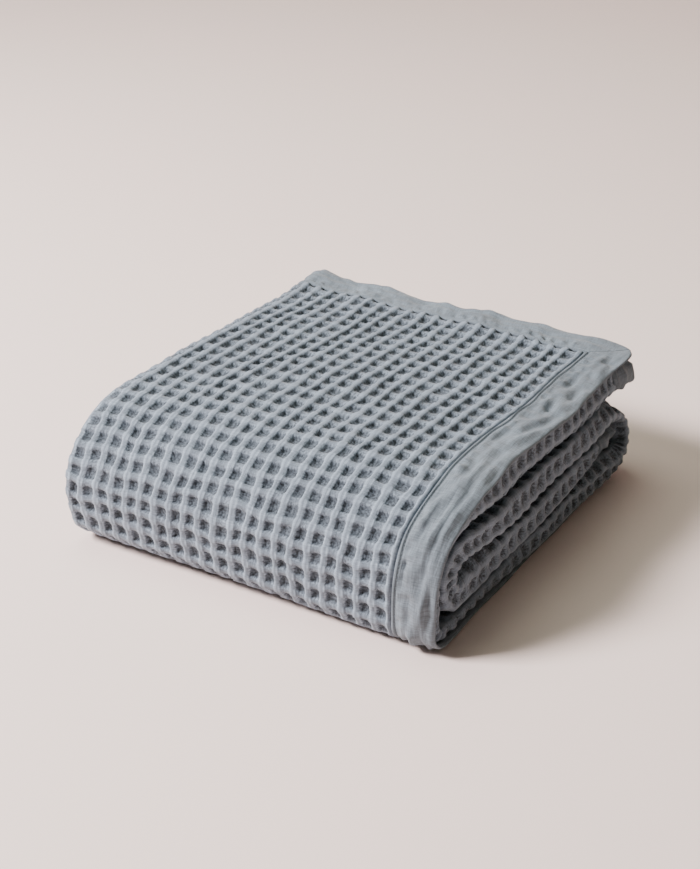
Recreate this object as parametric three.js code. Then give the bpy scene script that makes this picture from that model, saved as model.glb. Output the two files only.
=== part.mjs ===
// A linen waffle blanket, folded in thirds across its width and then rolled into four layers.
// Millimetres, +Z up. +Y is the back of the folded stack and +X the side where the bound edge shows.
import * as THREE from "three";

// Cloth and binding.
const CLOTH_THICKNESS = 6;
const BINDING_THICKNESS = 4;
const BINDING_WIDTH = 46;
const PIECE_GAP = 0.3;
const LEAF_GAP = 0.9;
const MIDDLE_SINK = 138; // the middle leaf sinks from the right fold to mid-depth over this width
const ROUND_FOLD = 6; // the right fold is round up to this radius
const FOLD_ROUNDNESS = 0.8; // and past it reaches out by this share of what is added
const BLUNT_FOLD = 14; // at this radius it is as blunt as it gets
const BLUNTNESS = 4; // the power of its curve there, where 2 is round
const PUFF_REACH = 32; // the inner leaf bends out to the puffed right fold over this width
const LIFT_REACH = 20; // and the middle leaf over this one

// The folded stack, measured from the bound edge (x = 0) and the floor (z = 0).
const STACK_WIDTH = 433;
const STACK_HEIGHT = 147;
const TOP_END = 442;
const TAIL_END = { y: 398, z: 48 };

// How finely the curved sheet is divided.
const RUN_STEP = 54;
const OUTER_STEPS = 11;
const HIDDEN_STEPS = 6;
const FOLD_STEPS = 5;
const PUFF_STEPS = 2;
const BINDING_STEPS = 3;
const LEAST_STEP = 3;

// The outer line of the rolled strip turns through these quarter arcs, seen from the +X side.
// Angles are in degrees round each arc's centre: 0 is the back, 90 up, 180 the front.
const TURNS = [
  { y: 100, z: 56, halfY: 114, halfZ: 91, from: 90, to: 180, steps: 7 }, // front nose, upper
  { y: 12, z: 26, halfY: 26, halfZ: 26, from: 180, to: 270, steps: 5 }, // front nose, lower
  { y: 395, z: 44, halfY: 47, halfZ: 44, from: 270, to: 360, steps: 5 }, // back fold, lower
  { y: 350, z: 44, halfY: 92, halfZ: 63.5, from: 360, to: 450, steps: 6 }, // back fold, upper
  { y: 74, z: 61, halfY: 60, halfZ: 46.5, from: 90, to: 180, steps: 6 }, // inner nose, upper
  { y: 52, z: 61, halfY: 38, halfZ: 38, from: 180, to: 275.7, steps: 5 }, // inner nose, lower
];

// The strip's three leaves at places along the roll. `at` counts runs and turns from the top end:
// 0 top run, 1-3 nose, 4 bottom run, 5-6 back fold, 7 second run, 8-9 inner nose, 10 last run.
// thick: depth of the three leaves; edge, bulge, left: x of the bound edge, right and left folds;
// up, down: how far the right fold puffs out past the leaves, towards the outer line and away.
const LAYERS = [
  { at: 0, thick: 36, edge: -6, bulge: -4, left: -429, up: 0, down: 6 },
  { at: 0.12, thick: 36, edge: -1, bulge: -5, left: -431, up: 0, down: 7 },
  { at: 0.7, thick: 36, edge: 0, bulge: -5, left: -433, up: 0, down: 8.2 },
  { at: 1, thick: 35, edge: 1, bulge: -5, left: -432, up: 0, down: 7.5 },
  { at: 1.55, thick: 24, edge: 1, bulge: -5, left: -429, up: 0, down: 5 },
  { at: 2, thick: 20, edge: 0, bulge: -5, left: -428, up: 0, down: 4 },
  { at: 4, thick: 20, edge: 0, bulge: -2, left: -427, up: 0, down: 0 },
  { at: 4.14, thick: 20.5, edge: -3, bulge: -1, left: -428, up: 0, down: 0 },
  { at: 4.42, thick: 29, edge: -5, bulge: 0, left: -428, up: 0, down: 0 },
  { at: 4.76, thick: 35, edge: -7, bulge: 1, left: -429, up: 0, down: 4 },
  { at: 4.9, thick: 31, edge: -9, bulge: 2, left: -429, up: 0, down: 9 },
  { at: 5, thick: 29, edge: -10, bulge: 2, left: -429, up: 0, down: 11 },
  { at: 5.6, thick: 24, edge: -15, bulge: 2, left: -428, up: 0, down: 13 },
  { at: 6, thick: 20, edge: -20, bulge: 1, left: -427, up: 0, down: 9 },
  { at: 6.4, thick: 21, edge: -28, bulge: 0, left: -426.5, up: 0, down: 4 },
  { at: 7, thick: 25, edge: -42, bulge: 0, left: -426, up: 0, down: 8 },
  { at: 7.4, thick: 31, edge: -45, bulge: 1, left: -427, up: 0, down: 8.5 },
  { at: 8, thick: 31, edge: -48, bulge: -1, left: -427, up: 0, down: 8 },
  { at: 8.5, thick: 30, edge: -50, bulge: -3, left: -426, up: 4, down: 6 },
  { at: 9, thick: 29, edge: -50, bulge: -4, left: -425, up: 9, down: 5.5 },
  { at: 9.5, thick: 30.5, edge: -50, bulge: -4, left: -424, up: 12.5, down: 5.5 },
  { at: 9.8, thick: 32, edge: -50, bulge: -3, left: -423.5, up: 9, down: 5 },
  { at: 10, thick: 33, edge: -50, bulge: -3, left: -423, up: 7.5, down: 4.5 },
  { at: 10.09, thick: 44, edge: -51, bulge: -1, left: -423, up: 8.5, down: -3 },
  { at: 10.22, thick: 41, edge: -52, bulge: 0, left: -423, up: 8, down: -3 },
  { at: 10.65, thick: 31, edge: -55, bulge: 0, left: -423, up: 8, down: -3.5 },
  { at: 11, thick: 20, edge: -58, bulge: -2, left: -421, up: 3, down: 0 },
];

// How the stack has settled: the nose leans out towards the left and low down least, the top is
// crowned, the end hem rises in crests and slants, and the bound side wanders.
const NOSE_LEAN = { base: 16, soft: 15, slope: 0.085, from: 50, to: 250 };
const CROWN = { lift: 3.5, x: -270, y: 190, spread: 170 };
const HEM = { from: 352, to: 425, low: 104, high: 130, sag: 2, slant: 10 };
const HEM_CRESTS = [
  { x: -408, lift: 4, width: 26 },
  { x: -328, lift: 5, width: 24 },
  { x: -240, lift: 4, width: 17 },
  { x: -187, lift: 7, width: 20 },
  { x: -58, lift: 5, width: 28 },
];
const EDGE_WANDER = { size: 2.2, length: 31, height: 23, from: -150, to: -20 };

const LINEN_BLUE_GREY = 0x8a979f;
const BINDING_BLUE_GREY = 0x93a0a8;

// A smooth step from 0 at `from` to 1 at `to`.
function rise(value, from, to) {
  return THREE.MathUtils.smoothstep(value, from, to);
}

// The runs and turns of the strip's outer line, each with its length and a function that
// gives a point and its outward normal at a share of that length.
function straightRun(a, b) {
  const along = b.clone().sub(a);
  const normal = new THREE.Vector2(along.y, -along.x).normalize();
  return {
    length: along.length(),
    steps: Math.max(2, Math.round(along.length() / RUN_STEP)),
    at: (share) => ({ point: a.clone().lerp(b, share), normal }),
  };
}

function turnPoint(turn, share) {
  const angle = THREE.MathUtils.degToRad(THREE.MathUtils.lerp(turn.from, turn.to, share));
  const across = Math.cos(angle);
  const up = Math.sin(angle);
  return {
    point: new THREE.Vector2(turn.y + turn.halfY * across, turn.z + turn.halfZ * up),
    normal: new THREE.Vector2(across / turn.halfY, up / turn.halfZ).normalize(),
  };
}

function turnRun(turn) {
  const curve = new THREE.EllipseCurve(
    turn.y,
    turn.z,
    turn.halfY,
    turn.halfZ,
    THREE.MathUtils.degToRad(turn.from),
    THREE.MathUtils.degToRad(turn.to),
  );
  return {
    length: curve.getLength(),
    steps: turn.steps,
    at: (share) => turnPoint(turn, curve.getUtoTmapping(share)),
  };
}

// Straight runs join the turns; two turns that meet need no run between them.
function rollPieces() {
  const start = new THREE.Vector2(TOP_END, STACK_HEIGHT);
  const tail = new THREE.Vector2(TAIL_END.y, TAIL_END.z);
  const pieces = [];
  let last = start;
  for (const turn of TURNS) {
    const first = turnPoint(turn, 0).point;
    if (first.distanceTo(last) > PIECE_GAP) pieces.push(straightRun(last, first));
    pieces.push(turnRun(turn));
    last = turnPoint(turn, 1).point;
  }
  pieces.push(straightRun(last, tail));
  let startsAt = 0;
  for (const piece of pieces) {
    piece.startsAt = startsAt;
    startsAt += piece.length;
  }
  return pieces;
}

const ROLL = rollPieces();
const ROLL_LENGTH = ROLL.at(-1).startsAt + ROLL.at(-1).length;

// Distances along the roll where the sheet is divided.
function rollStations(from, to) {
  const stations = [from];
  for (const piece of ROLL) {
    for (let i = 0; i < piece.steps; i += 1) {
      const s = piece.startsAt + (piece.length * i) / piece.steps;
      if (s > from + LEAST_STEP && s < to - LEAST_STEP) stations.push(s);
    }
  }
  stations.push(to);
  return stations;
}

// A column of LAYERS at a distance along the roll, as a smooth curve through its rows.
function layerColumn(name) {
  const keys = LAYERS.map(({ at, [name]: value }) => {
    const index = Math.min(Math.floor(at), ROLL.length - 1);
    return { s: ROLL[index].startsAt + (at - index) * ROLL[index].length, value };
  });
  const slope = (i) => {
    const a = keys[Math.max(i - 1, 0)];
    const b = keys[Math.min(i + 1, keys.length - 1)];
    return (b.value - a.value) / (b.s - a.s);
  };
  return (s) => {
    const i = THREE.MathUtils.clamp(keys.findLastIndex((key) => key.s <= s), 0, keys.length - 2);
    const span = keys[i + 1].s - keys[i].s;
    const u = THREE.MathUtils.clamp((s - keys[i].s) / span, 0, 1);
    const start = keys[i].value + slope(i) * u * span;
    const end = keys[i + 1].value - slope(i + 1) * (1 - u) * span;
    return THREE.MathUtils.lerp(start, end, rise(u, 0, 1));
  };
}

const LAYER = Object.fromEntries(
  ["thick", "edge", "bulge", "left", "up", "down"].map((name) => [name, layerColumn(name)]),
);

// The strip's section at a distance along the roll: the lines that its leaves and folds follow.
function sectionAt(s) {
  const half = CLOTH_THICKNESS / 2;
  const thick = LAYER.thick(s);
  const middleDepth = CLOTH_THICKNESS + LEAF_GAP + half;
  const leftRadius = thick / 2 - half;
  const up = LAYER.up(s);
  const down = LAYER.down(s);
  const rightRadius = (thick - half + down - (middleDepth - up)) / 2;
  const rightReach = rightRadius - (1 - FOLD_ROUNDNESS) * Math.max(rightRadius - ROUND_FOLD, 0);
  return {
    thick,
    up,
    down,
    edge: LAYER.edge(s),
    leftCentre: LAYER.left(s) + leftRadius + half,
    leftRadius,
    rightCentre: LAYER.bulge(s) - rightReach - half,
    rightRadius,
    rightReach,
    bluntness: THREE.MathUtils.lerp(2, BLUNTNESS, rise(rightRadius, ROUND_FOLD, BLUNT_FOLD)),
    rightDepth: thick - half + down - rightRadius,
    middleDepth,
    tuck: LAYER.left(s) + CLOTH_THICKNESS + leftRadius + half,
  };
}

// The middle leaf's depth, which sinks from the right fold to the middle of the section.
function middleDepthAt(section, x) {
  const sunk = rise(section.rightCentre - x, 0, MIDDLE_SINK);
  return THREE.MathUtils.lerp(section.middleDepth, section.thick / 2, sunk);
}

// Each leaf or fold gives, at a share of its width, x, the depth under the strip's outer line and
// the cloth's face side as a direction (x, depth). `margin` keeps a leaf clear of its binding.
const LEAVES = {
  outer: (section, share, margin) => ({
    x: THREE.MathUtils.lerp(section.edge - margin, section.leftCentre, share),
    depth: CLOTH_THICKNESS / 2,
    face: [0, -1],
  }),
  leftFold: (section, share) => {
    const angle = Math.PI * share;
    return {
      x: section.leftCentre - section.leftRadius * Math.sin(angle),
      depth: section.thick / 2 - section.leftRadius * Math.cos(angle),
      face: [-Math.sin(angle), -Math.cos(angle)],
    };
  },
  inner: (section, share) => ({
    x: THREE.MathUtils.lerp(section.leftCentre, section.rightCentre - PUFF_REACH, share),
    depth: section.thick - CLOTH_THICKNESS / 2,
    face: [0, 1],
  }),
  innerPuff: (section, share) => ({
    x: section.rightCentre - PUFF_REACH * (1 - share),
    depth: section.thick - CLOTH_THICKNESS / 2 + section.down * rise(share, 0, 1),
    face: [0, 1],
  }),
  rightFold: (section, share) => {
    const power = 2 / section.bluntness;
    const across = Math.max(Math.sin(Math.PI * share), 0);
    const deep = Math.cos(Math.PI * share);
    const side = Math.sign(deep);
    const face = new THREE.Vector2(
      across ** (2 - power) / section.rightReach,
      (side * Math.abs(deep) ** (2 - power)) / section.rightRadius,
    ).normalize();
    return {
      x: section.rightCentre + section.rightReach * across ** power,
      depth: section.rightDepth + section.rightRadius * side * Math.abs(deep) ** power,
      face: face.toArray(),
    };
  },
  middleLift: (section, share) => {
    const x = section.rightCentre - LIFT_REACH * share;
    return { x, depth: middleDepthAt(section, x) - section.up * rise(1 - share, 0, 1), face: [0, -1] };
  },
  middle: (section, share, margin) => {
    const x = THREE.MathUtils.lerp(section.rightCentre - LIFT_REACH, section.tuck + margin, share);
    return { x, depth: middleDepthAt(section, x), face: [0, -1] };
  },
  outerEdge: (section, share) => ({
    x: section.edge - BINDING_WIDTH * share,
    depth: CLOTH_THICKNESS / 2,
    face: [0, -1],
  }),
  innerEdge: (section, share) => ({
    x: section.tuck + BINDING_WIDTH * (1 - share),
    depth: section.thick / 2,
    face: [0, -1],
  }),
};

// Moves a point of the ideal fold to where the settled stack has it. The floor stays at zero.
function settle(p) {
  const height = p.z / STACK_HEIGHT;
  const leftward = THREE.MathUtils.clamp(-p.x / STACK_WIDTH, 0, 1);
  const lean = NOSE_LEAN.base * (1 - Math.exp(-p.z / NOSE_LEAN.soft)) + NOSE_LEAN.slope * p.z;
  const front = 1 - rise(p.y, NOSE_LEAN.from, NOSE_LEAN.to);
  const fromCrown = Math.hypot(p.x - CROWN.x, p.y - CROWN.y) / CROWN.spread;
  const crown = CROWN.lift * Math.exp(-fromCrown * fromCrown);
  let hem = -HEM.sag;
  for (const crest of HEM_CRESTS) {
    const away = (p.x - crest.x) / crest.width;
    hem += crest.lift * Math.exp(-away * away);
  }
  const nearHem = rise(p.y, HEM.from, HEM.to) * rise(p.z, HEM.low, HEM.high);
  const wander = EDGE_WANDER.size * Math.sin(p.y / EDGE_WANDER.length + p.z / EDGE_WANDER.height);
  return new THREE.Vector3(
    p.x + wander * height * rise(p.x, EDGE_WANDER.from, EDGE_WANDER.to),
    p.y - leftward * lean * front - HEM.slant * (1 - leftward) * nearHem,
    p.z + crown * height * height + hem * nearHem,
  );
}

// A point of the cloth: a leaf's line at distance s along the roll, moved out to its face side.
function clothPoint(leaf, share, margin, s, offset) {
  const section = sectionAt(s);
  const line = LEAVES[leaf](section, share, margin);
  const piece = ROLL.findLast((one) => one.startsAt <= s) ?? ROLL[0];
  const { point, normal } = piece.at(THREE.MathUtils.clamp((s - piece.startsAt) / piece.length, 0, 1));
  const depth = line.depth + line.face[1] * offset;
  return settle(
    new THREE.Vector3(
      line.x + line.face[0] * offset,
      point.x - normal.x * depth,
      point.y - normal.y * depth,
    ),
  );
}

// Columns across the given leaves, each leaf divided into `steps`, sharing the points they meet at.
function sheetColumns(leaves) {
  const columns = [];
  leaves.forEach(({ leaf, steps, margin = () => 0 }, index) => {
    for (let i = index ? 1 : 0; i <= steps; i += 1) columns.push({ leaf, share: i / steps, margin });
  });
  return columns;
}

// A closed sheet of even thickness: its face side, its back and the rim between them.
// `along(row, column)` gives the distance along the roll, which slants at a mitred corner.
function sheetSolid(rows, columns, thickness, along = (s) => s) {
  const positions = [];
  const index = [];
  const width = columns.length;
  const layer = rows.length * width;
  for (const side of [1, -1]) {
    for (const row of rows) {
      for (const column of columns) {
        const s = along(row, column);
        const offset = (side * thickness) / 2;
        const point = clothPoint(column.leaf, column.share, column.margin(s), s, offset);
        positions.push(point.x, point.y, point.z);
      }
    }
  }
  const quad = (a, b, c, d) => index.push(a, b, c, a, c, d);
  for (let i = 0; i + 1 < rows.length; i += 1) {
    for (let j = 0; j + 1 < width; j += 1) {
      const a = i * width + j;
      quad(a, a + 1, a + 1 + width, a + width);
      quad(layer + a, layer + a + width, layer + a + 1 + width, layer + a + 1);
    }
  }
  const rim = (a, b) => quad(a, layer + a, layer + b, b);
  const lastRow = layer - width;
  for (let j = 0; j + 1 < width; j += 1) {
    rim(j, j + 1);
    rim(lastRow + j + 1, lastRow + j);
  }
  for (let i = 0; i + 1 < rows.length; i += 1) {
    rim((i + 1) * width, i * width);
    rim(i * width + width - 1, (i + 1) * width + width - 1);
  }
  const geometry = new THREE.BufferGeometry();
  geometry.setAttribute("position", new THREE.Float32BufferAttribute(positions, 3));
  geometry.setIndex(index);
  geometry.computeVertexNormals();
  return geometry;
}

// Columns across the whole cloth as it is folded in thirds, inside `margin` at both side edges.
function thirds(margin) {
  return sheetColumns([
    { leaf: "outer", steps: OUTER_STEPS, margin },
    { leaf: "leftFold", steps: FOLD_STEPS },
    { leaf: "inner", steps: HIDDEN_STEPS },
    { leaf: "innerPuff", steps: PUFF_STEPS },
    { leaf: "rightFold", steps: FOLD_STEPS },
    { leaf: "middleLift", steps: PUFF_STEPS },
    { leaf: "middle", steps: HIDDEN_STEPS, margin },
  ]);
}

// The waffle cloth, inside the bindings on all four edges.
function wafflePanel() {
  const inset = BINDING_WIDTH + PIECE_GAP;
  const rows = rollStations(inset, ROLL_LENGTH - inset);
  return sheetSolid(rows, thirds(() => inset), CLOTH_THICKNESS);
}

// A strip along one side edge of the cloth, mitred where it meets the strips on the ends.
function sideBinding(leaf) {
  const columns = sheetColumns([{ leaf, steps: BINDING_STEPS }]);
  const fromEdge = ({ share }) => (leaf === "outerEdge" ? share : 1 - share);
  const mitre = (column) => BINDING_WIDTH * fromEdge(column) + PIECE_GAP;
  const inset = BINDING_WIDTH + 2 * PIECE_GAP;
  const rows = [0, ...rollStations(inset, ROLL_LENGTH - inset), ROLL_LENGTH];
  const along = (s, column) => THREE.MathUtils.clamp(s, mitre(column), ROLL_LENGTH - mitre(column));
  return sheetSolid(rows, columns, BINDING_THICKNESS, along);
}

// A strip across one end of the cloth, following the fold in thirds, with the matching mitres.
function endBinding(from) {
  const fromEnd = (s) => Math.min(s, ROLL_LENGTH - s) + PIECE_GAP;
  const step = BINDING_WIDTH / BINDING_STEPS;
  const rows = Array.from({ length: BINDING_STEPS + 1 }, (_, i) => from + step * i);
  return sheetSolid(rows, thirds(fromEnd), BINDING_THICKNESS);
}

function linenMesh(name, geometry, color) {
  const mesh = new THREE.Mesh(
    geometry,
    new THREE.MeshStandardMaterial({ color, roughness: 0.95, metalness: 0 }),
  );
  mesh.name = name;
  return mesh;
}

// The folded blanket stands on the floor, centred over its own middle.
const blanket = new THREE.Group();
blanket.name = "folded_waffle_blanket";
blanket.add(
  linenMesh("waffle_panel", wafflePanel(), LINEN_BLUE_GREY),
  linenMesh("side_binding_outer", sideBinding("outerEdge"), BINDING_BLUE_GREY),
  linenMesh("side_binding_inner", sideBinding("innerEdge"), BINDING_BLUE_GREY),
  linenMesh("end_binding_outer", endBinding(0), BINDING_BLUE_GREY),
  linenMesh("end_binding_inner", endBinding(ROLL_LENGTH - BINDING_WIDTH), BINDING_BLUE_GREY),
);
const bounds = new THREE.Box3().setFromObject(blanket);
const middle = bounds.getCenter(new THREE.Vector3());
blanket.position.set(-middle.x, -middle.y, -bounds.min.z);

export default blanket;
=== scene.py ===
"""Folded linen waffle blanket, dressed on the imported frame.

The cloth is worked out flat, in millimetres along its roll (s) and across its width (w), and each
point is then carried to its place in the folded stack. Relief, hems and stitches all use that map.
"""

import logging
import math
from dataclasses import dataclass, field
from enum import Enum

import bpy
import numpy as np
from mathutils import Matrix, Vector

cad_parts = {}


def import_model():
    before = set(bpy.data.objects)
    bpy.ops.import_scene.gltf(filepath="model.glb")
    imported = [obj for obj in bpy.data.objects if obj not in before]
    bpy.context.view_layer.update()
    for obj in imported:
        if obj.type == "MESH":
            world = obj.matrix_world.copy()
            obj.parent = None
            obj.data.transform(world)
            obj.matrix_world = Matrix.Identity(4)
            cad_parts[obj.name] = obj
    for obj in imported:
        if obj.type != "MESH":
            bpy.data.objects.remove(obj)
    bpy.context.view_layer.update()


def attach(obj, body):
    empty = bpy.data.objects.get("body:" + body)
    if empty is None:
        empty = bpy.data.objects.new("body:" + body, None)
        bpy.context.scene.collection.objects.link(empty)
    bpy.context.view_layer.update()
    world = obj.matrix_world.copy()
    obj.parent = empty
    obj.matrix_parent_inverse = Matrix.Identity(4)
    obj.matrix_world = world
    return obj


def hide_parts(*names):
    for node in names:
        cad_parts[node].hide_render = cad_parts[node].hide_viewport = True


LOG = logging.getLogger("waffle_blanket")

Pair = tuple[float, float]
Triple = tuple[float, float, float]

MM = 0.001
BODY = "root"

# Each kind of unevenness draws from a seed of its own.
SEED = 4117
WOBBLE_SEEDS = (SEED + 1, SEED + 2)
SWELL_SEED = SEED + 3
ROUGH_SEED = SEED + 5
KNOT_SEEDS = (SEED + 6, SEED + 7)
BINDING_SEED = SEED + 20
STITCH_SEED = SEED + 90

# What a mesh keeps for the finishes: its place on the flat cloth, the weave's height, which sets
# the painted shade in the pits and the painted highlight on the crests, and where the painted
# highlight at the sides of the ribs goes.
FLAT_MAP = "flat_cloth"
RIB_HEIGHT = "rib_height"
RIM_HIGHLIGHT_MASK = "rim_highlight_mask"

# The part of a noise texture's range that most of its values fill.
NOISE_RANGE = (0.25, 0.75)

# The tip of the bound edge on the floor is the fold's own zero; the row frame has its zero under
# the middle of the stack.
ROW_FRAME_SHIFT = (214.47, -204.16, 0.0)

STACK_WIDTH = 433.0
STACK_HEIGHT = 147.0
CLOTH_THICKNESS = 6.0
BINDING_WIDTH = 46.0
PIECE_GAP = 0.3
LEAF_GAP = 0.9

# Runs and turns whose ends are no further apart than this need no run between them.
TOUCHING = 0.3

# Over this width the middle leaf sinks from the right fold to half way down the layer.
MIDDLE_SINK = 138.0

# A right fold up to ROUND_FOLD in radius is round. Of what is past that radius a larger one reaches
# out by the share FOLD_ROUNDNESS, and from BLUNT_FOLD on its curve has the power BLUNTNESS.
ROUND_FOLD = 6.0
FOLD_ROUNDNESS = 0.8
BLUNT_FOLD = 14.0
BLUNTNESS = 4.0

# How far from the right fold the inner leaf starts to puff out, and the middle leaf to lift.
PUFF_REACH = 32.0
LIFT_REACH = 20.0


def rise(value: np.ndarray, start: float, stop: float) -> np.ndarray:
    """A smooth step from 0 at `start` to 1 at `stop`."""
    share = np.clip((value - start) / (stop - start), 0.0, 1.0)
    return share * share * (3.0 - 2.0 * share)


def mix(first: np.ndarray, second: np.ndarray, share: np.ndarray) -> np.ndarray:
    """The value a share of the way from `first` to `second`."""
    return first + (second - first) * share


@dataclass(frozen=True)
class Turn:
    """An arc of the rolled strip's outer line, seen from the bound side.

    Angles are degrees round the arc's centre: 0 is the back, 90 up and 180 the front.
    """

    y: float
    z: float
    half_y: float
    half_z: float
    start: float
    stop: float

    def trace(self, count: int = 400) -> tuple[np.ndarray, np.ndarray]:
        """Points and outward normals along the arc.

        Args:
            count: How many points to give.

        Returns:
            The points and the unit normals, each as rows of (y, z).
        """
        angle = np.radians(np.linspace(self.start, self.stop, count))
        across, up = np.cos(angle), np.sin(angle)
        points = np.stack([self.y + self.half_y * across, self.z + self.half_z * up], axis=1)
        normals = np.stack([across / self.half_y, up / self.half_z], axis=1)
        return points, normals / np.linalg.norm(normals, axis=1, keepdims=True)


@dataclass
class Roll:
    """The line that the strip of thirds follows as it is rolled into four layers."""

    turns: tuple[Turn, ...] = (
        Turn(100, 56, 114, 91, 90, 180),
        Turn(12, 26, 26, 26, 180, 270),
        Turn(395, 44, 47, 44, 270, 360),
        Turn(350, 44, 92, 63.5, 360, 450),
        Turn(74, 61, 60, 46.5, 90, 180),
        Turn(52, 61, 38, 38, 180, 275.7),
    )
    top_end: Pair = (442.0, STACK_HEIGHT)
    tail_end: Pair = (398.0, 48.0)

    def __post_init__(self) -> None:
        """Lays the runs and turns end to end and measures along them."""
        self.starts: list[float] = []
        self.lengths: list[float] = []
        self._points: list[np.ndarray] = []
        self._normals: list[np.ndarray] = []
        self._along: list[np.ndarray] = []
        last = np.array(self.top_end)
        for turn in self.turns:
            points, normals = turn.trace()
            if np.linalg.norm(points[0] - last) > TOUCHING:
                self._add_run(last, points[0])
            self._add(points, normals)
            last = points[-1]
        self._add_run(last, np.array(self.tail_end))
        self.line = np.concatenate(self._points)
        self.outward = np.concatenate(self._normals)
        self.along = np.concatenate(self._along)
        self.length = self.starts[-1] + self.lengths[-1]

    def _add_run(self, first: np.ndarray, second: np.ndarray) -> None:
        """Adds a straight run.

        Args:
            first: Where it starts, as (y, z).
            second: Where it stops.
        """
        way = (second - first) / np.linalg.norm(second - first)
        normal = np.array([way[1], -way[0]])
        self._add(np.stack([first, second]), np.stack([normal, normal]))

    def _add(self, points: np.ndarray, normals: np.ndarray) -> None:
        """Adds one run or turn after those already laid.

        Args:
            points: Its points, as rows of (y, z).
            normals: The outward normal at each of them.
        """
        steps = np.linalg.norm(np.diff(points, axis=0), axis=1)
        start = self.starts[-1] + self.lengths[-1] if self.starts else 0.0
        self.starts.append(start)
        self.lengths.append(float(steps.sum()))
        self._points.append(points)
        self._normals.append(normals)
        self._along.append(start + np.concatenate([[0.0], np.cumsum(steps)]))

    def spot(self, s: np.ndarray) -> tuple[np.ndarray, np.ndarray]:
        """The outer line's points and outward normals at distances along it.

        Args:
            s: Distances along the roll, in millimetres.

        Returns:
            Points and unit normals as rows of (y, z).
        """
        point = np.stack([np.interp(s, self.along, self.line[:, k]) for k in (0, 1)], axis=-1)
        normal = np.stack([np.interp(s, self.along, self.outward[:, k]) for k in (0, 1)], axis=-1)
        return point, normal / np.linalg.norm(normal, axis=-1, keepdims=True)

    def distance(self, at: float) -> float:
        """The distance along the roll of a run's number plus a share of its length."""
        index = min(int(at), len(self.starts) - 1)
        return self.starts[index] + (at - index) * self.lengths[index]

    def spread(self, s: np.ndarray, values: tuple[Pair, ...]) -> np.ndarray:
        """A value that changes along the roll.

        Args:
            s: Distances along the roll.
            values: Pairs of a place, counted in runs and turns, and the value there.

        Returns:
            The value at each distance.
        """
        places, amounts = zip(*values)
        return np.interp(s, [self.distance(at) for at in places], amounts)


@dataclass(frozen=True)
class LayerRow:
    """The three leaves at one place along the roll.

    `at` counts runs and turns from the top end. `thick` is the depth of the leaves together, and
    `edge`, `bulge` and `left` are the x of the bound edge, the right fold and the left fold.
    `up` and `down` are how far the right fold puffs out past the leaves on each side.
    """

    at: float
    thick: float
    edge: float
    bulge: float
    left: float
    up: float
    down: float


LAYER_ROWS = (
    LayerRow(0, 36, -6, -4, -429, -8, 12),
    LayerRow(0.12, 36, -1, -5, -431, -6, 9),
    LayerRow(0.3, 36, 0, -5, -432, -4, 9.4),
    LayerRow(0.7, 36, 0, -5, -433, -3, 9.4),
    LayerRow(1, 35, 1, -5, -432, -2, 8.5),
    LayerRow(1.55, 24, 1, -5, -429, 0, 5),
    LayerRow(2, 20, 0, -5, -428, 0, 4),
    LayerRow(4, 20, 0, -2, -427, 0, 0),
    LayerRow(4.14, 20.5, -3, -1, -428, 0, 0),
    LayerRow(4.42, 29, -5, 0, -428, 0, 0),
    LayerRow(4.76, 35, -7, 1, -429, 0, 4),
    LayerRow(4.9, 31, -9, 2, -429, 0, 9),
    LayerRow(5, 29, -10, 2, -429, 0, 11),
    LayerRow(5.6, 24, -15, 2, -428, 0, 13),
    LayerRow(6, 20, -20, 1, -427, 0, 9),
    LayerRow(6.4, 21, -28, 0, -426.5, 0, 4),
    LayerRow(7, 25, -42, 0, -426, 1, 8),
    LayerRow(7.4, 31, -45, 1, -427, 1.2, 8.5),
    LayerRow(8, 31, -48, -1, -427, 1, 8),
    LayerRow(8.5, 30, -50, -3, -426, 4, 6),
    LayerRow(9, 29, -50, -4, -425, 9, 5.5),
    LayerRow(9.5, 30.5, -50, -4, -424, 12.5, 5.5),
    LayerRow(9.8, 32, -50, -3, -423.5, 9, 5),
    LayerRow(10, 33, -50, -3, -423, 7.5, 4.5),
    LayerRow(10.09, 44, -51, -1, -423, 8.5, -3),
    LayerRow(10.22, 41, -52, 0, -423, 8, -3),
    LayerRow(10.65, 31, -55, 0, -423, 8, -3.5),
    LayerRow(11, 20, -58, -2, -421, 3, 0),
)


@dataclass
class LayerColumn:
    """One column of the layer rows as a smooth curve along the roll."""

    places: np.ndarray
    values: np.ndarray

    def __post_init__(self) -> None:
        """Takes each row's slope from its neighbours."""
        ahead = np.append(self.values[1:], self.values[-1])
        behind = np.insert(self.values[:-1], 0, self.values[0])
        ahead_at = np.append(self.places[1:], self.places[-1])
        behind_at = np.insert(self.places[:-1], 0, self.places[0])
        self.slopes = (ahead - behind) / (ahead_at - behind_at)

    def value(self, s: np.ndarray) -> np.ndarray:
        """The column's value at distances along the roll.

        Args:
            s: The distances, in millimetres.

        Returns:
            The value at each of them.
        """
        i = np.clip(np.searchsorted(self.places, s, side="right") - 1, 0, len(self.places) - 2)
        span = self.places[i + 1] - self.places[i]
        u = np.clip((s - self.places[i]) / span, 0.0, 1.0)
        start = self.values[i] + self.slopes[i] * u * span
        stop = self.values[i + 1] - self.slopes[i + 1] * (1 - u) * span
        return mix(start, stop, rise(u, 0.0, 1.0))


def blunt_bend(power: float, count: int = 400) -> tuple[np.ndarray, np.ndarray, float]:
    """Half a turn of a blunted circle, measured along its curve.

    Args:
        power: The power of its curve, where 2 is round.
        count: How many steps it is measured in.

    Returns:
        Shares of the curve's length, the angle at each of them, and the length for a radius of 1.
    """
    angle = np.linspace(0.0, math.pi, count + 1)
    across = np.sin(angle).clip(0.0) ** (2 / power)
    deep = np.sign(np.cos(angle)) * np.abs(np.cos(angle)) ** (2 / power)
    along = np.concatenate([[0.0], np.cumsum(np.hypot(np.diff(across), np.diff(deep)))])
    return along / along[-1], angle, float(along[-1])


BLUNT_SHARES, BLUNT_ANGLES, BLUNT_LENGTH = blunt_bend(BLUNTNESS)


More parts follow.
